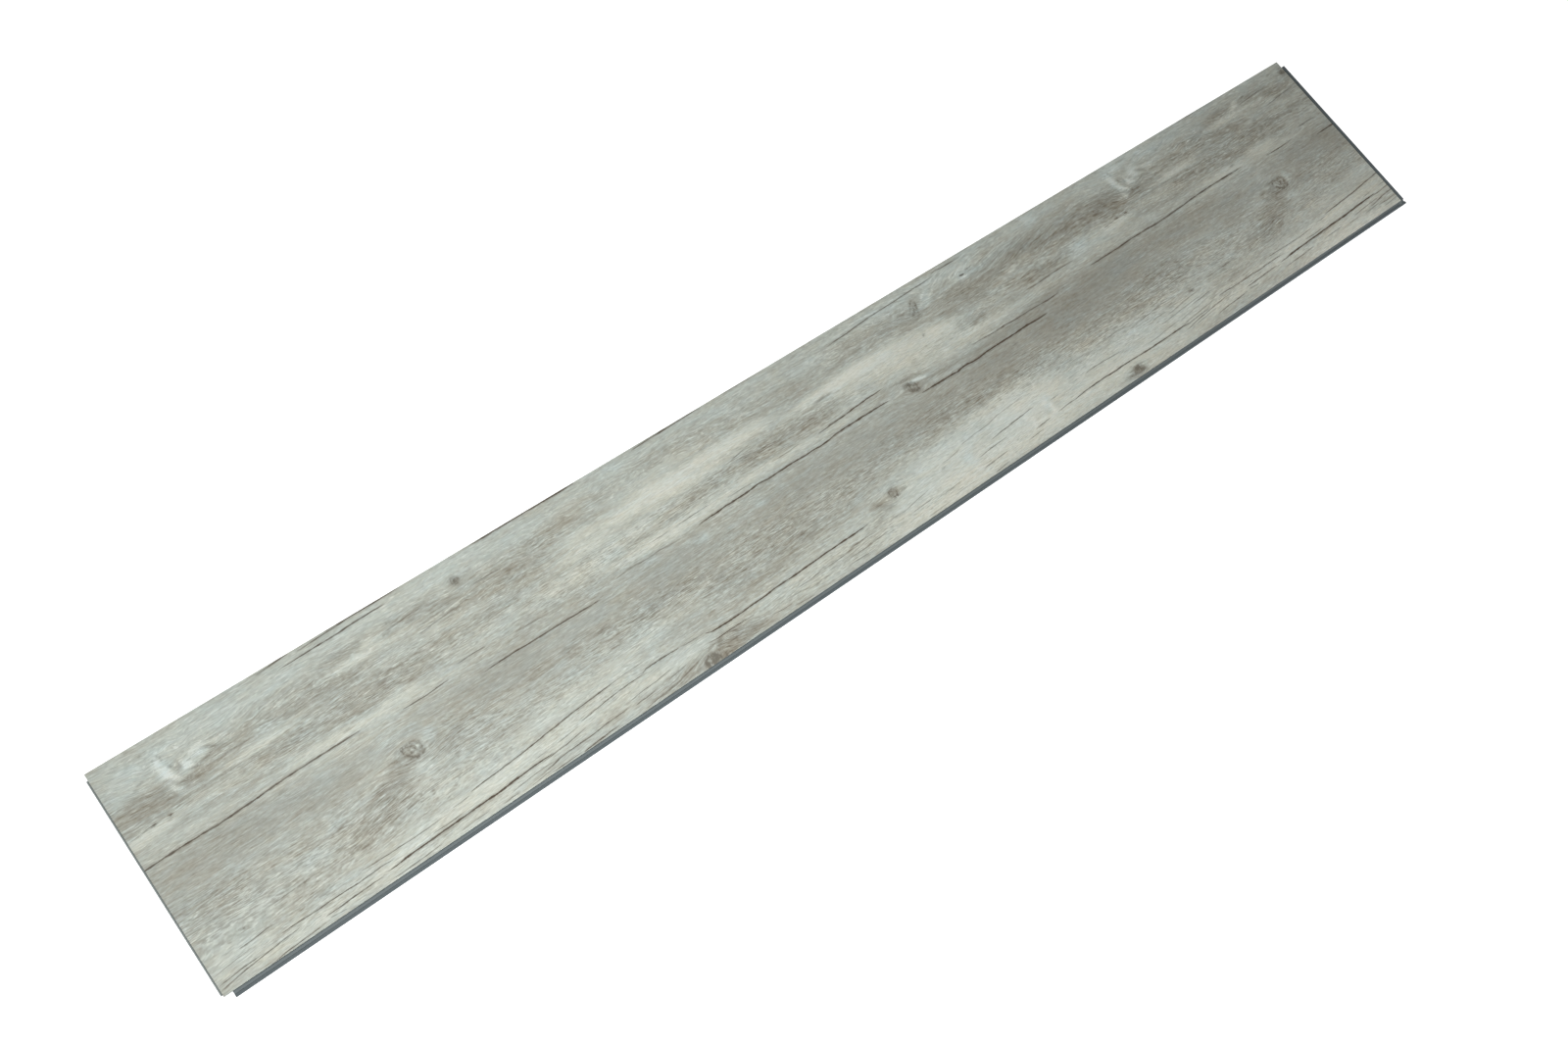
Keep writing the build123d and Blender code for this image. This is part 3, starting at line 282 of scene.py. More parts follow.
# Small marks, dark above 0 and pale below: (x, y, half length, half height, tilt in degrees, strength)
MARKS = [
    # round knot on the left, ringed by dark dashes
    (-428.6, -16.6, 2.2, 0.7, 62, 0.48), (-424.5, -14.4, 5.0, 1.4, 8, 0.30), (-417.5, -14.8, 3.5, 0.8, -25, 0.24),
    (-427.0, -21.6, 1.2, 1.0, -50, 0.60), (-425.8, -23.0, 1.0, 1.0, -45, 0.56), (-423.9, -24.0, 1.6, 0.8, -45, 0.55),
    (-421.6, -25.4, 1.1, 0.9, -60, 0.60), (-418.2, -25.2, 2.6, 0.9, 5, 0.30), (-415.6, -24.3, 1.6, 0.9, 35, 0.40),
    (-415.8, -20.4, 0.9, 1.3, 0, 0.60), (-414.8, -17.6, 2.2, 0.8, -75, 0.24), (-419.9, -19.2, 0.9, 1.2, 0, 0.52),
    (-422.8, -20.6, 1.6, 0.75, -35, 0.40), (-421.0, -16.9, 2.4, 0.75, -30, 0.32), (-423.8, -17.8, 1.5, 0.75, 60, 0.28),
    (-418.2, -22.2, 2.0, 0.75, -15, 0.36), (-425.3, -19.6, 1.4, 1.4, 0, -0.14), (-421.6, -22.6, 1.6, 1.0, -30, -0.14),
    (-418.0, -18.6, 1.3, 1.0, 0, -0.14), (-422.2, -15.7, 2.0, 0.8, -10, -0.09), (-431.5, -15.0, 4.5, 2.2, -8, 0.24),
    (-433.0, -19.8, 6.0, 1.1, -4, 0.24), (-411.5, -19.0, 4.5, 2.0, -75, -0.12), (-425.0, -30.5, 5.0, 3.0, 0, -0.08),
    (-421.3, -19.8, 7.4, 6.0, -28, 0.06),
    # small round knot near the far side
    (-328.3, 71.6, 3.2, 3.1, 0, 0.58), (-330.3, 72.6, 1.1, 1.1, 50, 0.12), (-327.6, 70.6, 0.8, 0.8, 0, -0.09),
    (-329.0, 76.6, 3.5, 0.8, 0, 0.16), (-333.0, 73.5, 0.8, 3.0, 0, 0.12),
    # knot cut by the near side
    (-209.3, -85.6, 2.4, 1.0, 55, 0.44), (-205.5, -82.9, 2.6, 1.1, 25, 0.52), (-201.3, -83.0, 2.6, 1.1, -25, 0.56),
    (-198.2, -86.0, 2.6, 1.1, -60, 0.56), (-207.9, -87.2, 1.5, 1.7, 0, 0.68), (-200.6, -87.2, 1.6, 1.6, 0, 0.48),
    (-204.3, -87.6, 0.9, 1.2, 0, 0.40), (-204.0, -86.0, 6.4, 4.6, 0, 0.19), (-204.4, -85.3, 2.6, 0.8, 0, -0.20), (-205.9, -86.8, 0.8, 1.2, 0, -0.14),
    (-202.6, -86.9, 0.8, 1.2, 0, -0.14), (-211.3, -87.6, 0.9, 2.2, 0, -0.18), (-193.0, -84.5, 6.0, 3.5, 0, 0.21),
    (-192.0, -79.0, 5.0, 2.0, 40, 0.24), (-187.0, -73.5, 5.0, 1.6, 50, 0.18), (-197.0, -76.8, 6.0, 0.8, 8, 0.24),
    # mottled round knot in the lower middle
    (1.1, -55.7, 4.3, 4.2, 0, 0.46), (0.6, -52.9, 2.6, 0.9, 5, 0.28), (3.9, -58.9, 1.3, 1.1, 0, 0.48),
    (1.2, -59.4, 2.2, 0.8, -5, 0.24), (-2.7, -55.8, 0.8, 2.4, 0, 0.20), (-0.4, -56.8, 0.8, 0.9, 0, 0.20),
    (1.7, -54.9, 0.9, 0.9, 0, -0.09), (9.8, -56.8, 2.6, 1.2, 10, 0.24), (12.4, -57.2, 1.2, 1.0, 0, 0.28),
    (7.0, -54.8, 2.2, 0.7, -30, 0.16), (-6.6, -49.5, 3.2, 0.7, -75, 0.20), (-15.5, -57.8, 2.4, 1.2, 0, 0.24),
    # cracked knot at the end of the long crack
    (73.3, 12.8, 1.6, 1.4, 0, 0.90), (69.8, 13.4, 2.6, 1.6, 10, 0.28), (76.6, 11.7, 1.0, 0.9, -30, 0.50),
    (71.2, 9.5, 0.8, 2.0, 0, 0.15), (72.6, 6.9, 1.4, 0.9, -25, 0.45), (75.1, 6.7, 1.3, 0.8, 15, 0.42),
    (77.8, 5.4, 1.6, 0.7, -10, 0.66), (79.9, 6.5, 1.1, 0.9, 0, 0.70), (80.4, 9.0, 0.7, 1.3, 0, 0.30),
    (78.8, 11.2, 1.6, 0.7, -45, 0.22), (74.6, 9.6, 1.3, 1.1, 0, -0.16), (77.7, 8.9, 1.8, 1.4, 0, -0.10),
    (75.1, 11.2, 0.8, 0.8, 0, -0.16), (76.0, 9.6, 6.2, 4.4, -35, 0.36), (84.5, 13.4, 7.0, 1.3, -15, -0.21),
    (78.0, 17.6, 12.0, 0.9, -6, 0.24), (72.0, 18.8, 12.0, 0.8, -3, 0.20), (92.0, 16.0, 8.0, 0.8, -8, 0.20),
    # slanting knot of nested arcs
    (121.6, 70.4, 4.6, 0.85, 50, 0.36), (126.2, 67.5, 5.6, 0.9, 72, 0.44), (123.0, 66.8, 3.2, 0.75, 71, 0.32),
    (119.8, 63.2, 2.2, 1.1, 35, 0.32), (116.6, 65.0, 1.2, 1.0, 0, 0.24), (123.6, 67.4, 6.5, 3.6, 62, 0.15),
    (121.9, 67.6, 3.2, 0.8, 62, -0.09), (125.0, 66.5, 3.0, 0.8, 70, -0.07), (124.6, 74.0, 3.0, 1.0, 20, 0.24),
    # dark eye with a pale glow
    (181.7, 70.9, 1.6, 0.8, -6, 0.60), (178.0, 71.3, 3.0, 0.75, 0, 0.28), (190.7, 73.6, 3.4, 1.0, 0, 0.32),
    (195.0, 72.4, 2.4, 0.75, 15, 0.28), (186.5, 71.7, 2.5, 0.75, 20, 0.20), (180.0, 75.3, 8.0, 2.2, 5, -0.16),
    (182.3, 68.9, 2.6, 1.0, -25, -0.30), (180.0, 67.0, 3.0, 1.5, 0, -0.11), (188.0, 75.4, 3.0, 1.0, 20, -0.11),
    (174.0, 73.0, 5.0, 1.2, 10, -0.11),
    # soft knot by the near side
    (260.6, -81.4, 3.6, 1.8, 0, 0.58), (263.5, -84.0, 2.2, 2.0, -40, 0.33), (259.6, -84.6, 6.0, 2.8, 0, 0.33),
    (251.5, -86.0, 7.0, 1.7, 0, 0.27), (255.6, -78.4, 2.4, 1.0, -30, 0.16), (266.0, -86.5, 3.0, 2.0, 0, 0.24),
    (262.5, -82.8, 0.9, 0.9, 0, -0.11),
    # pale swirl
    (-566.0, 62.0, 8.0, 3.2, -68, -0.22), (-563.0, 54.5, 6.5, 1.8, -38, -0.24), (-566.5, 48.0, 4.0, 2.0, -70, -0.26),
    (-559.0, 76.0, 5.0, 3.0, 0, -0.10), (-569.0, 71.0, 4.0, 2.3, 60, -0.08), (-550.8, 58.0, 4.4, 3.6, -10, -0.24), (-554.2, 62.0, 1.2, 4.0, 15, -0.16),
    (-555.8, 62.5, 4.0, 0.7, 78, 0.15), (-550.5, 54.2, 4.5, 0.7, -8, 0.24), (-549.0, 60.6, 2.2, 0.75, 0, 0.32),
    (-541.0, 63.0, 6.0, 4.8, 0, -0.16), (-561.8, 63.4, 1.6, 1.0, -60, 0.38), (-564.3, 71.5, 2.6, 0.6, -75, 0.26), (-565.4, 74.0, 1.3, 0.6, -60, 0.24),
    (-569.5, 73.0, 1.2, 0.8, 0, 0.28), (-534.5, 61.4, 5.0, 1.4, -25, 0.36), (-524.0, 63.0, 8.0, 2.6, -15, -0.17),
    (-520.0, 59.5, 6.0, 2.0, 0, -0.10), (-528.0, 66.0, 6.0, 0.8, -4, 0.32), (-531.0, 50.0, 9.0, 0.9, 4, 0.30), (-516.0, 50.6, 9.0, 0.7, 2, 0.28),
    (-538.0, 56.0, 7.0, 1.1, 15, 0.24), (-583.0, 64.0, 3.0, 0.75, 12, 0.28), (-589.2, 34.2, 1.5, 0.7, 10, 0.60), (-588.0, 48.5, 18.0, 11.0, 0, 0.05), (-558.0, 49.8, 4.5, 1.8, 0, 0.30), (-547.0, 50.0, 6.0, 4.0, 0, 0.16),
    (-578.5, 34.3, 1.4, 0.7, -25, 0.64), (-545.0, 39.0, 30.0, 0.9, 0, 0.24), (-575.0, 81.0, 1.2, 1.0, 0, 0.24),
    (-557.5, 60.0, 3.0, 4.5, 20, 0.12), (-545.0, 79.0, 6.0, 0.9, 10, 0.16), (-553.0, 48.5, 6.0, 2.0, 0, 0.12),
    # dashes, dots and scraped lines
    (-401.0, 66.0, 5.0, 2.4, 20, -0.12), (-387.0, 71.0, 3.0, 0.9, 0, 0.28), (-510.5, 6.0, 1.8, 0.8, 0, 0.24),
    (-578.0, -58.8, 2.6, 0.8, -15, 0.40), (-531.0, -56.0, 6.0, 0.8, 5, 0.28), (-516.0, -51.0, 4.0, 0.8, 0, 0.24),
    (-450.0, 18.4, 2.2, 0.8, -8, 0.44), (-347.0, 55.5, 24.0, 0.75, 4, -0.18), (-330.0, 58.0, 8.0, 0.75, 6, -0.14),
    (-302.0, 62.0, 14.0, 0.6, 0, 0.14), (2.0, 42.2, 7.0, 0.9, 0, 0.18), (-68.0, 31.8, 6.0, 0.75, 20, 0.10),
    (-58.0, 31.5, 8.0, 0.75, -12, 0.10), (-76.0, 29.0, 5.0, 0.75, 45, 0.10), (115.0, 43.2, 1.1, 1.0, 0, 0.44),
    (51.0, -61.9, 0.8, 0.6, 0, 0.42), (196.0, -44.2, 1.3, 1.1, 0, 0.48), (357.0, -51.0, 3.4, 0.8, 5, 0.44),
    (-260.0, -21.0, 8.0, 0.8, 2, 0.24), (-256.0, -37.0, 5.0, 0.8, 0, 0.24), (138.0, 73.5, 5.0, 0.85, 35, -0.21),
    (146.0, 71.0, 6.0, 0.85, 38, -0.18), (134.0, 67.2, 5.0, 0.9, 8, -0.21), (137.0, 64.4, 4.5, 0.9, 15, -0.18),
    (152.0, 75.0, 6.0, 0.85, 40, -0.14), (222.0, 52.0, 5.0, 0.9, 38, -0.23), (229.0, 53.5, 6.0, 0.9, 38, -0.21),
    (237.0, 55.0, 5.0, 0.9, 35, -0.18), (244.0, 53.0, 4.0, 0.9, 25, -0.16), (200.0, 49.5, 4.0, 1.6, 30, -0.14),
    (208.0, 51.0, 3.0, 1.0, 40, -0.14), (248.0, 48.0, 5.0, 0.9, -15, -0.14), (165.5, -63.0, 4.0, 1.6, -50, -0.20),
    (168.0, -71.0, 5.0, 1.3, 78, -0.23), (143.5, -67.0, 4.0, 1.4, -45, -0.16), (145.0, -73.0, 4.0, 1.2, 70, -0.16),
    (157.0, -73.5, 6.0, 1.3, -10, -0.16), (-14.0, -59.0, 5.0, 1.6, -5, 0.15), (-22.0, -68.0, 4.0, 1.2, 30, 0.20),
]


def lattice(seed, x, y):
    """Smooth noise between -1 and 1, the same each run."""
    rng = np.random.RandomState(seed)
    table = rng.rand(64, 64) * 2 - 1
    xi, yi = np.floor(x).astype(int), np.floor(y).astype(int)
    fx, fy = x - xi, y - yi
    fx, fy = fx * fx * (3 - 2 * fx), fy * fy * (3 - 2 * fy)
    a, b = table[xi % 64, yi % 64], table[(xi + 1) % 64, yi % 64]
    c, d = table[xi % 64, (yi + 1) % 64], table[(xi + 1) % 64, (yi + 1) % 64]
    return (a * (1 - fx) + b * fx) * (1 - fy) + (c * (1 - fx) + d * fx) * fy


def fractal(seed, x, y, octaves=3):
    out, amp, total = 0.0, 1.0, 0.0
    for k in range(octaves):
        out = out + amp * lattice(seed + 17 * k, x * 2**k + 5.3 * k, y * 2**k + 9.1 * k)
        total += amp
        amp *= 0.55
    return out / total


def repeats(x, y):
    """The places on the plank where something printed at x, y shows."""
    for n in (0, 1):
        yield x + n * REPEAT[0], y + n * REPEAT[1]


def painted(X, Y, blobs, seed, sharp=1.4):
    """Soft-edged patches, with wandering outlines."""
    wx = X + 9 * fractal(seed, X / 45, Y / 14) + 3 * fractal(seed + 3, X / 12, Y / 5)
    wy = Y + 1.9 * fractal(seed + 7, X / 40, Y / 12) + 0.7 * fractal(seed + 9, X / 14, Y / 4)
    out = np.zeros_like(X)
    for bx, by, rx, ry, tilt, strength in blobs:
        c, s = math.cos(math.radians(tilt)), math.sin(math.radians(tilt))
        for px, py in repeats(bx, by):
            if px > 660 + rx:
                continue
            dx, dy = wx - px, wy - py
            q = ((dx * c + dy * s) / rx) ** 2 + ((-dx * s + dy * c) / ry) ** 2
            out = np.maximum(out, strength * np.exp(-0.75 * q**sharp)) + 0.25 * np.minimum(out, strength * np.exp(-0.75 * q**sharp))
    return out


def marked(X, Y, blobs):
    """Small marks with fairly crisp edges, laid over each other."""
    wx = X + 0.5 * fractal(83, X / 5, Y / 3, 2)
    wy = Y + 0.4 * fractal(87, X / 5, Y / 3, 2)
    out = np.zeros_like(X)
    xs = X[:, 0]
    for bx, by, rx, ry, tilt, strength in blobs:
        c, s = math.cos(math.radians(tilt)), math.sin(math.radians(tilt))
        for px, py in repeats(bx, by):
            i = np.nonzero(np.abs(xs - px) < 2.0 * rx + 2)[0]
            if len(i) == 0:
                continue
            at = slice(i[0], i[-1] + 1)
            dx, dy = wx[at] - px, wy[at] - py
            q = ((dx * c + dy * s) / rx) ** 2 + ((-dx * s + dy * c) / ry) ** 2
            out[at] += strength * np.exp(-0.75 * q**1.5)
    return out


def crack_layers(X, Y, zone=4.4, inner=3.2, apart=9.5):
    """For each layer of cracks: the distance above the nearest crack, its half width there and its darkness."""
    lines = []
    for w, d, pts in CRACKS:
        for n in (0, 1):
            q = [(x + n * REPEAT[0], y + n * REPEAT[1]) for x, y in pts]
            if q[0][0] > 612 or q[-1][0] < -612 or min(p[1] for p in q) > 92.5 or max(p[1] for p in q) < -92.5:
                continue
            lines.append((w, min(1.0, d * (1.5 if w <= 0.7 else 1.05)), np.array(q, float)))
    xs = X[:, 0]
    layers = []
    for w, d, q in sorted(lines, key=lambda t: -t[0] * (t[2][-1, 0] - t[2][0, 0])):
        yc = np.interp(xs, q[:, 0], q[:, 1])
        near = (xs > q[0, 0] - 9) & (xs < q[-1, 0] + 9)
        if not near.any():
            continue
        for layer in layers:
            if not (np.abs(layer["yc"][:, near] - yc[near]) < apart).any():
                break
        else:
            layer = {"yc": np.full((0, len(xs)), 1e9), "s": np.full_like(X, 6.0), "h": np.zeros_like(X), "d": np.zeros_like(X)}
            layers.append(layer)
        row = np.where(near, yc, 1e9)
        layer["yc"] = np.vstack([layer["yc"], row])
        length = q[-1, 0] - q[0, 0]
        end = min(14.0, 0.3 * length)
        taper = np.clip(np.minimum(xs - q[0, 0], q[-1, 0] - xs) / end, 0, 1)
        taper = np.sqrt(taper)
        s = Y - yc[:, None]
        at = near[:, None] & (np.abs(s) < zone)
        layer["s"] = np.where(at, s, layer["s"])
        layer["h"] = np.where(at & (np.abs(s) < inner), (0.5 * w * taper)[:, None], layer["h"])
        layer["d"] = np.where(at, d, layer["d"])
    return layers


def knot_field(X, Y):
    """Place within the nearest knot, in knot radii, how much of a knot it is, and that knot's style."""
    best, kx, ky = np.full_like(X, 1e9), np.zeros_like(X), np.zeros_like(X)
    style = [np.zeros_like(X) for _ in range(3)]
    for cx, cy, rx, ry, tilt, look in KNOTS:
        c, s = math.cos(math.radians(tilt)), math.sin(math.radians(tilt))
        for px, py in repeats(cx, cy):
            dx, dy = X - px, Y - py
            a, b = (dx * c + dy * s) / rx, (-dx * s + dy * c) / ry
            r = np.hypot(a, b)
            m = r < best
            best, kx, ky = np.where(m, r, best), np.where(m, a, kx), np.where(m, b, ky)
            for k in range(3):
                style[k] = np.where(m, look[k], style[k])
    return kx, ky, np.clip((2.9 - best) / 0.5, 0, 1), style


def flow(X, Y):
    """Height of the grain line that runs through each place: level between knots, and round them near by."""
    h = 2.2 * fractal(41, X / 170, Y / 40, 2) + 0.5 * fractal(43, X / 60, Y / 12, 2)
    low = 1 / (1 + np.exp((Y + 58) / 5))
    rise = np.interp(X, [-645, -600, -250, -190, -60, 60, 150, 290, 335, 685], [-33, -28, -8, -5, -3, 1, 4, 4, 2 - 0, 24 - 0])
    h = h + low * (rise - np.interp(X, [-645, 685], [-10, 10]))
    for cx, cy, rx, ry, slope in CLIMB:
        for px, py in repeats(cx, cy):
            h = h + slope * rx * np.tanh((X - px) / rx) * np.exp(-(((X - px) / (2.2 * rx)) ** 2) - ((Y - py) / ry) ** 2)
    curl = painted(X, Y, MOTTLE, 91, 1.0)
    h = h + curl * (2.6 * fractal(51, X / 16, Y / 9, 3))
    for cx, cy, rx, ry, tilt, d in KNOTS:
        for px, py in repeats(cx, cy):
            dx, dy = X - px, Y - py
            r = max(rx, ry)
            h = h + 0.75 * r * np.tanh(1.2 * dy / r) * np.exp(-((dx / (2.8 * r)) ** 2) - (dy / (2.6 * r)) ** 2)
    return Y - h


# ---------------------------------------------------------------- node helpers
class Nodes:
    def __init__(self, name):
        self.mat = bpy.data.materials.new(name)
        self.mat.use_nodes = True
        self.t = self.mat.node_tree
        self.t.nodes.clear()
        self.out = self.t.nodes.new("ShaderNodeOutputMaterial")
        self.p = self.t.nodes.new("ShaderNodeBsdfPrincipled")
        self.t.links.new(self.p.outputs[0], self.out.inputs["Surface"])

    def put(self, socket, value):
        if isinstance(value, bpy.types.NodeSocket):
            self.t.links.new(value, socket)
        elif value is not None:
            socket.default_value = value

    def math(self, op, a, b=None, c=None, clamp=False):
        n = self.t.nodes.new("ShaderNodeMath")
        n.operation = op
        n.use_clamp = clamp
        for s, v in zip(n.inputs, (a, b, c)):
            self.put(s, v)
        return n.outputs[0]

    def add(self, a, b):
        return self.math("ADD", a, b)

    def sub(self, a, b):
        return self.math("SUBTRACT", a, b)

    def mul(self, *v):
        out = v[0]
        for x in v[1:]:
            out = self.math("MULTIPLY", out, x)
        return out

    def madd(self, a, b, c):
        return self.math("MULTIPLY_ADD", a, b, c)

    def step(self, x, lo, hi, out_lo=0.0, out_hi=1.0):
        n = self.t.nodes.new("ShaderNodeMapRange")
        n.interpolation_type = "SMOOTHSTEP"
        for s, v in zip(n.inputs, (x, lo, hi, out_lo, out_hi)):
            self.put(s, v)
        return n.outputs[0]

    def attr(self, name):
        n = self.t.nodes.new("ShaderNodeAttribute")
        n.attribute_name = name
        return n

    def split(self, v):
        n = self.t.nodes.new("ShaderNodeSeparateXYZ")
        self.put(n.inputs[0], v)
        return n.outputs

    def join(self, x, y, z=0.0):
        n = self.t.nodes.new("ShaderNodeCombineXYZ")
        for s, v in zip(n.inputs, (x, y, z)):
            self.put(s, v)
        return n.outputs[0]

    def noise(self, vec, scale=1.0, detail=2.0, rough=0.55, distortion=0.0):
        n = self.t.nodes.new("ShaderNodeTexNoise")
        n.noise_dimensions = "3D"
        self.put(n.inputs["Vector"], vec)
        n.inputs["Scale"].default_value = scale
        n.inputs["Detail"].default_value = detail
        n.inputs["Roughness"].default_value = rough
        n.inputs["Distortion"].default_value = distortion
        return n.outputs["Fac"]

    def mix(self, fac, a, b, mode="MIX"):
        n = self.t.nodes.new("ShaderNodeMix")
        n.data_type = "RGBA"
        n.blend_type = mode
        n.clamp_factor = True
        self.put(n.inputs[0], fac)
        self.put(n.inputs[6], a)
        self.put(n.inputs[7], b)
        return n.outputs[2]

    def bump(self, height, distance, strength=1.0, normal=None):
        n = self.t.nodes.new("ShaderNodeBump")
        n.inputs["Strength"].default_value = strength
        n.inputs["Distance"].default_value = distance
        self.put(n.inputs["Height"], height)
        self.put(n.inputs["Normal"], normal)
        return n.outputs[0]


# ---------------------------------------------------------------- the printed face layer
def spaced(lo, hi, cells, ease, busy=(), tight=3.0):
    """Places from lo to hi, close together in the eased edge and, tight times, at the busy stretches."""
    fine_x = np.linspace(lo + ease[-1], hi - ease[-1], 8000)
    dense = np.ones_like(fine_x)
    for at, half in busy:
        dense += (tight - 1) / (1 + np.exp((np.abs(fine_x - at) - half) / 2.5))
    run = np.concatenate([[0], np.cumsum((dense[1:] + dense[:-1]) / 2)])
    inner = np.interp(np.linspace(0, run[-1], cells + 1), run, fine_x)
    return np.concatenate([lo + np.array(ease[:-1]), inner, hi - np.array(ease[:-1])[::-1]])


lo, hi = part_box("printed_face_layer")
EASE = [0.0, 0.04, 0.12, 0.26]
EASE_DROP = {0.0: 0.20, 0.04: 0.09, 0.12: 0.025, 0.26: 0.0}
BUSY = [(px, 1.2 * k[2] + 3) for k in KNOTS for px, py in repeats(k[0], k[1]) if px < 612]
BUSY += [(-550, 34), (385, 34)]
xs = spaced(lo.x / MM, hi.x / MM, 462, EASE, BUSY)
ys = spaced(lo.y / MM, hi.y / MM, 198, EASE)
X, Y = np.meshgrid(xs, ys, indexing="ij")
nx, ny = X.shape

layers = crack_layers(X, Y)
print("crack layers", len(layers))
kx, ky, kd, kstyle = knot_field(X, Y)
V = flow(X, Y)
cream = painted(X, Y, CREAM, 11, 2.0)
brown = painted(X, Y, BROWN, 23, 1.7)
grey = painted(X, Y, GREY, 31)
cool = painted(X, Y, COOL, 37, 1.1)
ticks = painted(X, Y, TICKS, 61, 1.0)
mottle = painted(X, Y, MOTTLE, 71, 1.0)
marks = marked(X, Y, MARKS)

# Embossing: cracks and knots are pressed in, and the grain stands in faint ribs.
relief = -0.012 * (1 - fractal(101, X / 26, V / 1.9, 3))
relief = relief - 0.010 * np.clip(fractal(105, X / 14, V / 1.1, 2) * 1.8, 0, 1)
for layer in layers:
    groove = np.clip(1.15 - np.abs(layer["s"]) / (layer["h"] + 0.45), 0, 1) * (layer["h"] > 0.05)
    relief = relief - 0.10 * groove * layer["d"] * np.clip(layer["h"] / 0.5, 0, 1)
rk = np.hypot(kx, ky)
relief = relief - 0.04 * kd * kstyle[0] * np.exp(-((rk / 0.9) ** 4)) - 0.12 * np.clip(marks, 0, 0.5)
relief = np.clip(relief, -0.16, 0)


def drop(v, a, b):
    d = np.minimum(v - a, b - v)
    return np.interp(d, list(EASE_DROP), list(EASE_DROP.values()))


edge_drop = np.hypot(drop(X, lo.x / MM, hi.x / MM), drop(Y, lo.y / MM, hi.y / MM))
Z = hi.z / MM + relief - np.minimum(edge_drop, 0.24)

verts = np.stack([X, Y, Z], -1).reshape(-1, 3)
i, j = np.meshgrid(np.arange(nx - 1), np.arange(ny - 1), indexing="ij")
a = (i * ny + j).ravel()
quads = np.stack([a, a + ny, a + ny + 1, a + 1], 1)
rim = (
    [k * ny for k in range(nx)]
    + [(nx - 1) * ny + k for k in range(1, ny)]
    + [k * ny + ny - 1 for k in range(nx - 2, -1, -1)]
    + [k for k in range(ny - 2, 0, -1)]
)
foot = verts[rim].copy()
foot[:, 2] = lo.z / MM
base = len(verts)
verts = np.vstack([verts, foot])
n = len(rim)
faces = [tuple(q) for q in quads.tolist()]
faces += [(rim[(k + 1) % n], rim[k], base + k, base + (k + 1) % n) for k in range(n)]
front = [base + k for k in range(nx)]
back = [base + nx + ny - 2 + (nx - 1 - k) for k in range(nx)]
right_side = [base + nx + k for k in range(ny - 2)]
left_side = [base + 2 * nx + ny - 2 + k for k in range(ny - 2)]
side_faces = n
faces += [(front[k], back[k], back[k + 1], front[k + 1]) for k in range(1, nx - 2)]
faces.append(tuple([front[0]] + left_side[::-1] + [back[0], back[1], front[1]]))
faces.append(tuple([front[-2], back[-2], back[-1]] + right_side[::-1] + [front[-1]]))

mesh = bpy.data.meshes.new("printed_face")
mesh.from_pydata((verts * MM).tolist(), [], faces)
mesh.validate()
mesh.update()
face = bpy.data.objects.new("printed_face", mesh)
bpy.context.scene.collection.objects.link(face)

smooth = np.ones(len(mesh.polygons), bool)
smooth[len(quads):] = False
mesh.polygons.foreach_set("use_smooth", smooth)


def vector_attribute(name, *parts):
    """The three values at each vertex. The side's foot vertices take their rim's."""
    flat = [np.broadcast_to(p, X.shape).ravel() for p in parts]
    top = np.stack(flat, -1)
    whole = np.vstack([top, top[rim]]).astype(np.float32)
    at = mesh.attributes.new(name, "FLOAT_VECTOR", "POINT")
    at.data.foreach_set("vector", whole.ravel())


for k, layer in enumerate(layers):
    vector_attribute(f"crack_{k}", layer["s"], layer["h"], layer["d"])
vector_attribute("knot", kx, ky, kd)
vector_attribute("knot_style", *kstyle)
vector_attribute("grain", X, V, grey)
vector_attribute("tone", cream, brown, cool)
vector_attribute("figure", ticks, mottle, marks)

# A map in two rows, each half of the plank, so that a baked texture is fine across the grain.
uv = mesh.uv_layers.new(name="OFBake")
loop_vertex = np.empty(len(mesh.loops), np.int32)
mesh.loops.foreach_get("vertex_index", loop_vertex)
co = verts[loop_vertex]
loop_face = np.repeat(np.arange(len(mesh.polygons)), [p.loop_total for p in mesh.polygons])
centre_x = np.zeros(len(mesh.polygons))
np.add.at(centre_x, loop_face, co[:, 0])
centre_x /= np.bincount(loop_face)
right = (centre_x > 0)[loop_face]
u = (co[:, 0] + np.where(right, 0, 610.5)) / 611.5
v = (co[:, 1] + 90.0) / 180.0 * 0.485 + np.where(right, 0.505, 0.005)
u = np.clip(u * 0.998 + 0.001, 0, 1)
on_side = (loop_face >= len(quads)) & (loop_face < len(quads) + side_faces)
below = loop_face >= len(quads) + side_faces
along = (co[:, 0] + 610.0) / 1220.0 * 0.8
across = (co[:, 1] + 90.0) / 180.0
at_end = np.abs(co[:, 0]) > 609.999
end_face = np.ones(len(mesh.polygons), bool)
np.logical_and.at(end_face, loop_face, at_end)
u = np.where(on_side, np.where(end_face[loop_face], 0.81 + 0.09 * across + 0.095 * (co[:, 0] > 0), along), u)
strip = np.where(across > 0.5, 0.9925, 0.9950)
v = np.where(on_side, np.where(end_face[loop_face], 0.9925, strip) + 0.0018 * (co[:, 2] > lo.z / MM + 0.01), v)
u = np.where(below, along / 0.8 * 0.998 + 0.001, u)
v = np.where(below, 0.9975 + 0.0020 * across, v)
uv.data.foreach_set("uv", np.stack([u, v], -1).astype(np.float32).ravel())

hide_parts("printed_face_layer")
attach(face, "root")


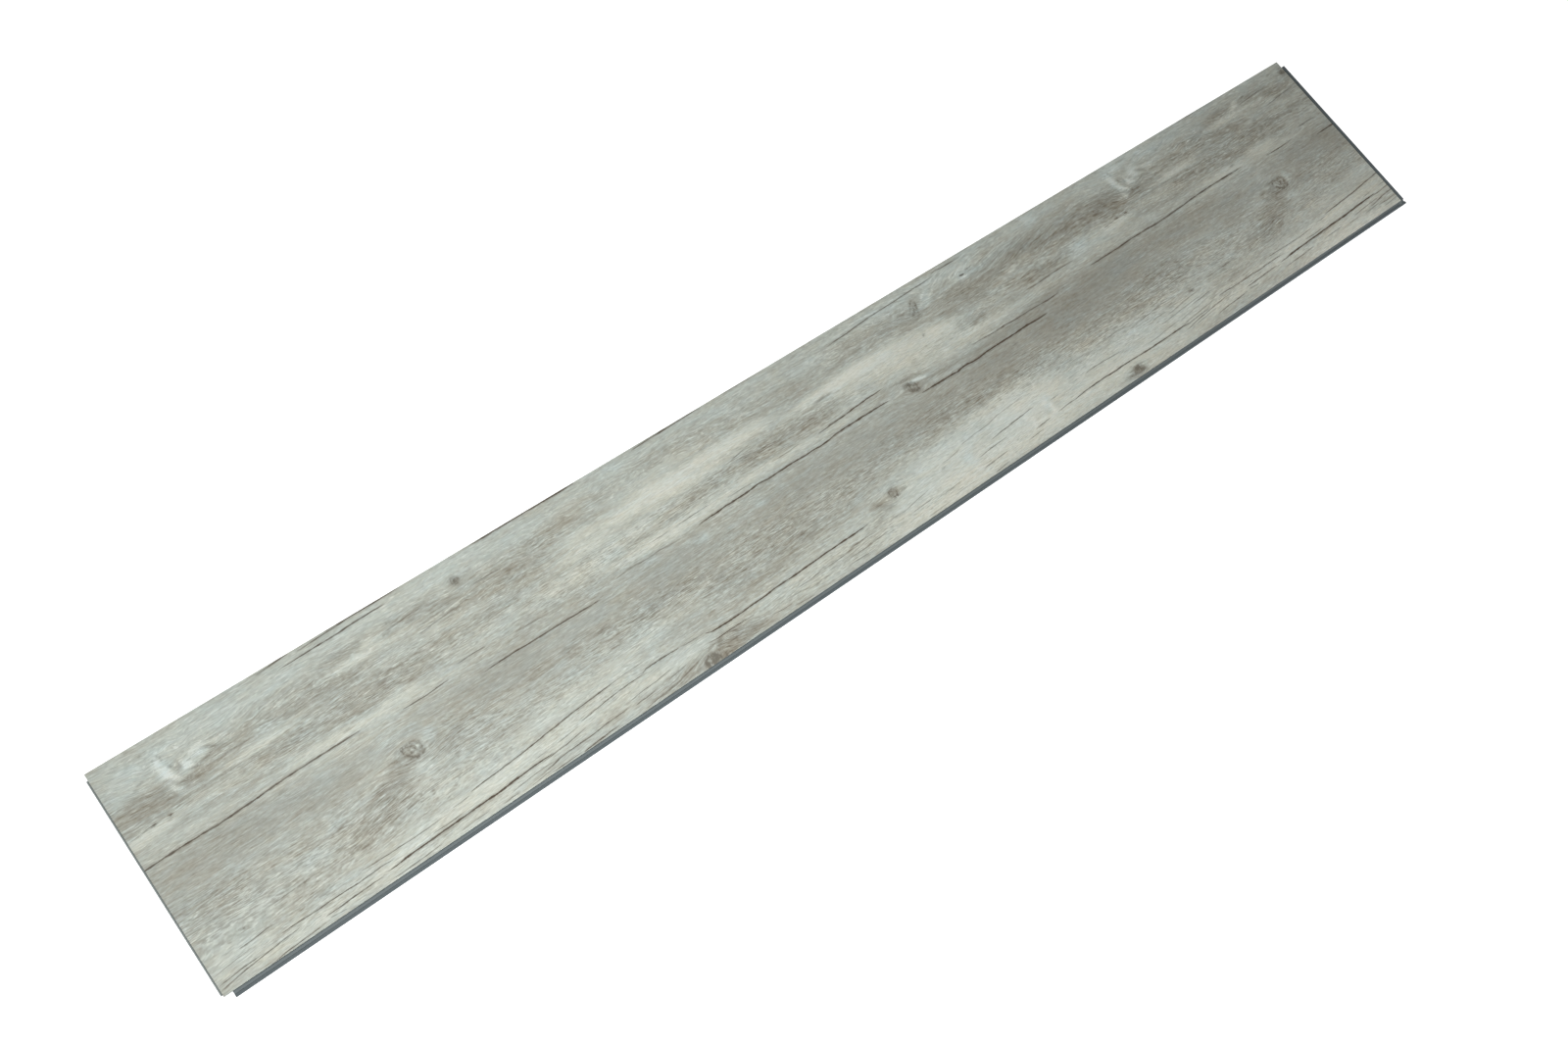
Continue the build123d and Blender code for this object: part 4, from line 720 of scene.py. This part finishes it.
# ---------------------------------------------------------------- the print's material
def print_material():
    m = Nodes("printed_whitewashed_pine")
    grain = m.split(m.attr("grain").outputs["Vector"])
    tone = m.split(m.attr("tone").outputs["Vector"])
    figure = m.split(m.attr("figure").outputs["Vector"])
    knot = m.split(m.attr("knot").outputs["Vector"])
    style = m.split(m.attr("knot_style").outputs["Vector"])
    U, Vv, grey_in = grain[0], grain[1], grain[2]

    def streak(lx, ly, seed, detail=2.0, rough=0.55, distortion=0.0):
        vec = m.join(m.mul(U, 1.0 / lx), m.mul(Vv, 1.0 / ly), seed)
        return m.noise(vec, 1.0, detail, rough, distortion)

    def off(n, amount):
        """The noise as a value round 0."""
        return m.mul(m.sub(n, 0.5), amount)

    def total(*v):
        out = v[0]
        for x in v[1:]:
            out = m.add(out, x)
        return out

    broad = streak(110.0, 11.0, 1.7, 2.0)
    band = streak(46.0, 4.4, 5.1, 1.0)
    mid = streak(22.0, 2.1, 9.3, 1.0, 0.5, 0.15)
    fine = streak(10.5, 1.0, 12.9, 1.0, 0.5, 0.03)
    hair = streak(4.5, 0.55, 15.5, 1.0, 0.5)
    lumps = streak(12.0, 4.2, 19.1, 3.0, 0.65, 0.35)
    grit = streak(3.4, 1.4, 21.7, 2.0, 0.6, 0.2)
    cloud = streak(36.0, 14.0, 23.3, 3.0, 0.6, 0.5)

    # patches, broken up by the grain
    def patch(amount, lo_, hi_, streaky, lumpy):
        x = total(amount, off(band, 0.3 * streaky), off(mid, 0.65 * streaky), off(fine, 0.85 * streaky),
                  off(lumps, 0.95 * lumpy), off(grit, 1.0 * lumpy))
        return m.mul(m.madd(m.math("SUBTRACT", x, lo_), 1.0 / (hi_ - lo_), 0.0), m.step(x, lo_ - 0.05, lo_ + 0.25), m.step(amount, 0.0, 0.22))

    f_grey = patch(grey_in, 0.0, 1.05, 0.6, 0.5)
    f_cream = patch(tone[0], 0.05, 1.25, 0.8, 0.4)
    f_brown = patch(tone[1], 0.08, 1.25, 0.8, 0.6)
    f_cool = patch(tone[2], 0.1, 1.2, 0.6, 0.8)

    # how thin the whitewash is: 0 where it covers the wood, 1 where the wood shows
    curly = figure[1]
    thin = total(
        m.mul(f_brown, 0.30), m.mul(f_grey, 0.21), m.mul(f_cream, -0.27),
        m.mul(m.math("SUBTRACT", 1.0, f_cream, clamp=True), f_cool, -0.19),
        m.mul(total(off(broad, 0.10), off(band, 0.12), off(mid, 0.24), off(fine, 0.44), off(hair, 0.52), off(grit, 0.22)),
              m.madd(m.math("MINIMUM", f_cream, 1.0), -0.22, m.madd(m.math("MINIMUM", grey_in, 1.0), -0.25, m.madd(m.math("MINIMUM", tone[1], 1.0), 0.15, 1.04)))),
        m.mul(m.mul(m.sub(lumps, 0.5), curly), 0.34), off(cloud, 0.12),
        BASE_THIN,
    )
    # short brown ticks where the grain's pores took the stain, and pale scraped dashes
    t1 = streak(8.0, 0.76, 27.0, 1.0, 0.5, 0.02)
    t2 = streak(14.0, 0.58, 29.0, 1.0, 0.5)
    dens = m.madd(figure[0], 0.15, -0.03)
    tick = m.math("MAXIMUM", m.step(m.add(t1, dens), 0.62, 0.73), m.mul(m.step(m.add(t2, dens), 0.62, 0.73), 0.9))
    p1 = streak(9.0, 0.9, 33.0, 1.0, 0.5, 0.4)
    p2 = streak(5.0, 2.4, 35.0, 2.0, 0.55, 1.2)
    fibre = streak(15.0, 0.50, 73.0, 1.0, 0.5)
    fibre = m.mul(m.sub(m.step(fibre, 0.47, 0.68), 0.38), total(m.mul(m.math("MINIMUM", tone[1], 1.2), 0.20), m.mul(figure[0], 0.06), 0.05))
    t3 = streak(4.0, 0.50, 67.0, 0.0)
    p3 = streak(5.0, 0.55, 69.0, 0.0)
    tick = m.math("MAXIMUM", tick, m.mul(m.step(m.add(t3, m.mul(dens, 0.6)), 0.62, 0.74), 0.6))
    pale = m.math("MAXIMUM", m.mul(m.step(p1, 0.60, 0.74), 0.16), m.mul(m.step(p3, 0.63, 0.74), 0.11))
    fleck = m.mul(m.mul(m.step(p2, 0.60, 0.72), curly), 0.22)
    thin = total(thin, fibre, m.mul(figure[0], -0.045), m.mul(tick, m.madd(figure[0], 0.26, 0.16)), m.mul(pale, -1.0), m.mul(fleck, -1.0))

    # knots: fine mottling inside a brown halo, with the marks drawn over them
    speck = m.noise(m.join(m.mul(U, 0.75), m.mul(Vv, 0.75), 79.0), 1.0, 2.0, 0.6)
    seed = m.mul(style[2], 7.0)
    kpos_x, kpos_y = m.add(knot[0], seed), m.add(knot[1], 0.3)
    kpos = m.join(kpos_x, kpos_y, seed)
    spots = m.noise(kpos, 3.0, 3.0, 0.7)
    r = m.math("SQRT", m.add(m.mul(knot[0], knot[0]), m.mul(knot[1], knot[1])))
    r = m.add(r, off(spots, 0.5))
    inside = m.step(r, 1.15, 0.85)
    dots = m.mul(m.step(m.noise(m.join(m.mul(kpos_x, 3.2), m.mul(kpos_y, 3.2), seed), 1.0, 1.0, 0.5), 0.56, 0.70), m.step(r, 1.3, 0.95))
    kdark = total(m.mul(m.mul(off(spots, 1.1), inside), style[0]), m.mul(dots, style[0], 0.22), m.mul(m.step(r, 2.4, 0.8), m.mul(style[1], 0.07)))
    thin = total(thin, m.mul(kdark, m.math("MINIMUM", knot[2], 1.0)), m.mul(figure[2], m.madd(speck, 3.2, -0.6)))

    # cracks, with a stained edge
    w_noise = streak(7.0, 60.0, 51.0, 3.0, 0.65)
    s_noise = streak(9.0, 60.0, 57.0, 2.0, 0.6)
    dark_noise = streak(11.0, 40.0, 61.0, 2.0, 0.6)
    crack_sum = None
    halo_sum = None
    for k in range(len(layers)):
        c = m.split(m.attr(f"crack_{k}").outputs["Vector"])
        s = m.math("ABSOLUTE", m.add(c[0], m.mul(m.sub(s_noise, 0.5), 0.9)))
        hw = m.mul(c[1], m.madd(w_noise, 2.6, -0.40))
        body = m.step(m.sub(hw, s), -0.22, 0.20)
        on = m.math("MULTIPLY", c[1], 9.0, clamp=True)
        amount = m.mul(body, on, c[2], m.madd(dark_noise, 1.0, 0.50))
        glow = m.mul(m.step(m.sub(m.madd(c[1], 2.2, 0.7), s), 0.0, 1.2), on, c[2])
        crack_sum = amount if crack_sum is None else m.math("MAXIMUM", crack_sum, amount)
        halo_sum = glow if halo_sum is None else m.math("MAXIMUM", halo_sum, glow)
    thin = m.add(thin, m.mul(halo_sum, 0.14))

    ramp = m.t.nodes.new("ShaderNodeValToRGB")
    m.put(ramp.inputs[0], m.madd(thin, 1 / 1.16, 0.16 / 1.16))
    stops = [
        (-0.16, srgb(232, 236, 226)),
        (0.00, srgb(217, 221, 210)), (0.10, srgb(205, 210, 199)), (0.19, srgb(195, 200, 190)),
        (0.35, srgb(179, 182, 172)), (0.45, srgb(170, 172, 162)), (0.56, srgb(161, 162, 152)),
        (0.68, srgb(150, 149, 138)), (0.82, srgb(138, 136, 125)), (1.00, srgb(122, 119, 108)),
    ]
    while len(ramp.color_ramp.elements) < len(stops):
        ramp.color_ramp.elements.new(0.5)
    for e, (at, c) in zip(ramp.color_ramp.elements, stops):
        e.position = (at + 0.16) / 1.16
        e.color = c
    col = ramp.outputs[0]

    # warm cream or cool wash over it
    bloom = streak(15.0, 7.0, 75.0, 2.0, 0.6, 0.5)
    rosy = total(off(streak(6.0, 2.0, 71.0, 2.0, 0.6), 1.3), off(hair, 0.5), off(streak(19.0, 6.0, 77.0, 2.0, 0.6, 0.5), 1.0))
    tint = total(m.mul(f_cream, 0.4), m.mul(f_brown, 0.55), m.mul(f_cool, -1.8), off(cloud, 4.4), off(mid, 2.6), off(bloom, 2.2), 0.08, off(grit, 1.8), off(lumps, 0.8), off(fine, 1.0), m.mul(tick, 0.5))
    warm = m.join(total(m.mul(tint, 0.030), m.mul(rosy, 0.028), 1.0), 1.0, total(m.mul(tint, -0.030), m.mul(rosy, 0.030), 1.0))
    col = m.mix(1.0, col, warm, "MULTIPLY")
    col = m.mix(crack_sum, col, srgb(88, 76, 63))
    m.put(m.p.inputs["Base Color"], col)

    # matt clear wear layer over an embossed film
    rough = m.madd(m.sub(fine, 0.5), 0.30, 0.55)
    rough = m.math("ADD", rough, m.mul(crack_sum, 0.12), clamp=True)
    m.put(m.p.inputs["Roughness"], rough)
    m.p.inputs["Specular IOR Level"].default_value = 0.38
    pos = m.t.nodes.new("ShaderNodeTexCoord").outputs["Object"]
    skin = m.noise(pos, 2600.0, 2.0, 0.6)
    height = m.add(off(fine, 0.6), off(hair, 0.5))
    height = m.sub(height, m.mul(tick, 0.45))
    height = m.sub(height, m.mul(crack_sum, 0.9))
    height = m.add(height, off(skin, 0.22))
    m.put(m.p.inputs["Normal"], m.bump(height, 0.00007, 1.0))
    return m.mat


mesh.materials.append(print_material())


# ---------------------------------------------------------------- the core's material
def core_material():
    m = Nodes("milled_grey_vinyl")
    tc = m.t.nodes.new("ShaderNodeTexCoord").outputs["Object"]
    x, y, z = m.split(tc)

    def grain(sx, sy, sz, detail, rough=0.6):
        return m.noise(m.join(m.mul(x, sx), m.mul(y, sy), m.mul(z, sz)), 1.0, detail, rough)

    filler = grain(1900.0, 1900.0, 1900.0, 3.0)
    cloud = grain(14.0, 40.0, 220.0, 3.0)
    long_marks = grain(6.0, 2600.0, 2600.0, 2.0)
    end_marks = grain(2600.0, 6.0, 2600.0, 2.0)
    chips = m.step(grain(900.0, 900.0, 900.0, 2.0), 0.62, 0.72)
    nrm = m.split(m.t.nodes.new("ShaderNodeNewGeometry").outputs["Normal"])
    endness = m.step(m.math("ABSOLUTE", nrm[0]), 0.35, 0.75)
    marks = m.add(m.mul(long_marks, m.sub(1.0, endness)), m.mul(end_marks, endness))
    col = m.mix(filler, srgb(97, 107, 109), srgb(116, 126, 128))
    col = m.mix(m.mul(m.step(cloud, 0.35, 0.75), 0.5), col, srgb(120, 128, 130))
    col = m.mix(m.mul(m.step(marks, 0.45, 0.75), 0.35), col, srgb(133, 141, 143))
    col = m.mix(m.mul(chips, 0.5), col, srgb(76, 84, 84))
    # Painted shade: the sloping nose of the near lip and the outer edge of the end lip are darkened, standing in for
    # the shade on faces that turn away from the light.
    nose = m.step(y, -0.0921, -0.0930)
    end_nose = m.step(x, 0.6112, 0.6125)
    painted_nose_shade = m.math("MAXIMUM", nose, m.mul(end_nose, 0.7))
    col = m.mix(m.mul(painted_nose_shade, 0.42), col, srgb(72, 81, 86))
    tongue = m.step(x, -0.6100, -0.6106)
    col = m.mix(m.mul(tongue, 0.85), col, m.mix(filler, srgb(152, 160, 158), srgb(170, 178, 175)))
    # Painted light: the channel floor of the near lip is made lighter, standing in for the light that falls on it.
    foot = m.mul(m.step(y, -0.0899, -0.0902), m.step(y, -0.0926, -0.0918))
    col = m.mix(m.mul(foot, 0.42), col, srgb(136, 144, 145))
    m.put(m.p.inputs["Base Color"], col)
    m.put(m.p.inputs["Roughness"], m.madd(marks, 0.25, 0.5))
    m.p.inputs["Specular IOR Level"].default_value = 0.35
    height = m.add(m.mul(filler, 0.35), m.mul(marks, 0.65))
    m.put(m.p.inputs["Normal"], m.bump(height, 0.00005, 1.0))
    return m.mat


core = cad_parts["vinyl_core"]
core_mat = core_material()
if not core.material_slots:
    core.data.materials.append(core_mat)
for slot in core.material_slots:
    slot.link = "OBJECT"
    slot.material = core_mat

# ---------------------------------------------------------------- floor, light and camera
floor_mesh = bpy.data.meshes.new("floor")
floor_mesh.from_pydata([(-6, -6, 0), (6, -6, 0), (6, 6, 0), (-6, 6, 0)], [], [(0, 1, 2, 3)])
floor = bpy.data.objects.new("floor", floor_mesh)
bpy.context.scene.collection.objects.link(floor)
floor.location.z = -0.00002
fm = Nodes("pale_floor")
fm.p.inputs["Base Color"].default_value = (0.86, 0.86, 0.86, 1)
fm.p.inputs["Roughness"].default_value = 0.9
fm.p.inputs["Specular IOR Level"].default_value = 0.0
fm.p.inputs["Emission Color"].default_value = (1, 1, 1, 1)
fm.p.inputs["Emission Strength"].default_value = 0.85
floor_mesh.materials.append(fm.mat)

world = bpy.data.worlds.new("soft_room")
bpy.context.scene.world = world
world.use_nodes = True
world.node_tree.nodes["Background"].inputs[0].default_value = (1.0, 0.985, 0.965, 1)
world.node_tree.nodes["Background"].inputs[1].default_value = 0.30


def area(name, where, aim, size, power, colour=(1, 1, 1)):
    data = bpy.data.lights.new(name, "AREA")
    data.shape = "DISK"
    data.size = size
    data.energy = power
    data.color = colour
    o = bpy.data.objects.new(name, data)
    bpy.context.scene.collection.objects.link(o)
    o.location = where
    d = Vector(aim) - Vector(where)
    o.rotation_euler = d.to_track_quat("-Z", "Y").to_euler()
    return o


area("key", (-0.412, -0.189, 0.846), (-0.412, -0.1889, 0.0), 0.5, 5.3, (0.985, 1.0, 1.005))
area("fill", (0.215, -0.066, 0.342), (0.215, -0.0659, 0.0), 0.16, 0.103, (1.0, 0.985, 0.985))
area("low_fill", (0.536, -0.288, 0.16), (0.536, -0.2879, 0.0), 0.14, 0.352, (1.0, 0.955, 0.975))

cam_data = bpy.data.cameras.new("camera")
cam_data.sensor_fit = "HORIZONTAL"
cam_data.sensor_width = 36.0
cam_data.lens = 36.0 * 1596.7266 / 1600.0
cam_data.clip_start = 0.01
cam_data.clip_end = 50.0
cam = bpy.data.objects.new("camera", cam_data)
bpy.context.scene.collection.objects.link(cam)
to_cam = Matrix(
    (
        (0.780160869164, -0.594855306204, 0.193639311365),
        (-0.505206917810, -0.781651864335, -0.365768141283),
        (0.368937648420, 0.187530071355, -0.910339213654),
    )
)
flip = Matrix(((1, 0, 0), (0, -1, 0), (0, 0, -1)))
cam.matrix_world = Matrix.Translation((-0.54466059, -0.25838598, 1.12725545)) @ (to_cam.transposed() @ flip).to_4x4()
bpy.context.scene.camera = cam

bpy.context.scene.view_settings.view_transform = "Standard"
bpy.context.scene.view_settings.look = "None"
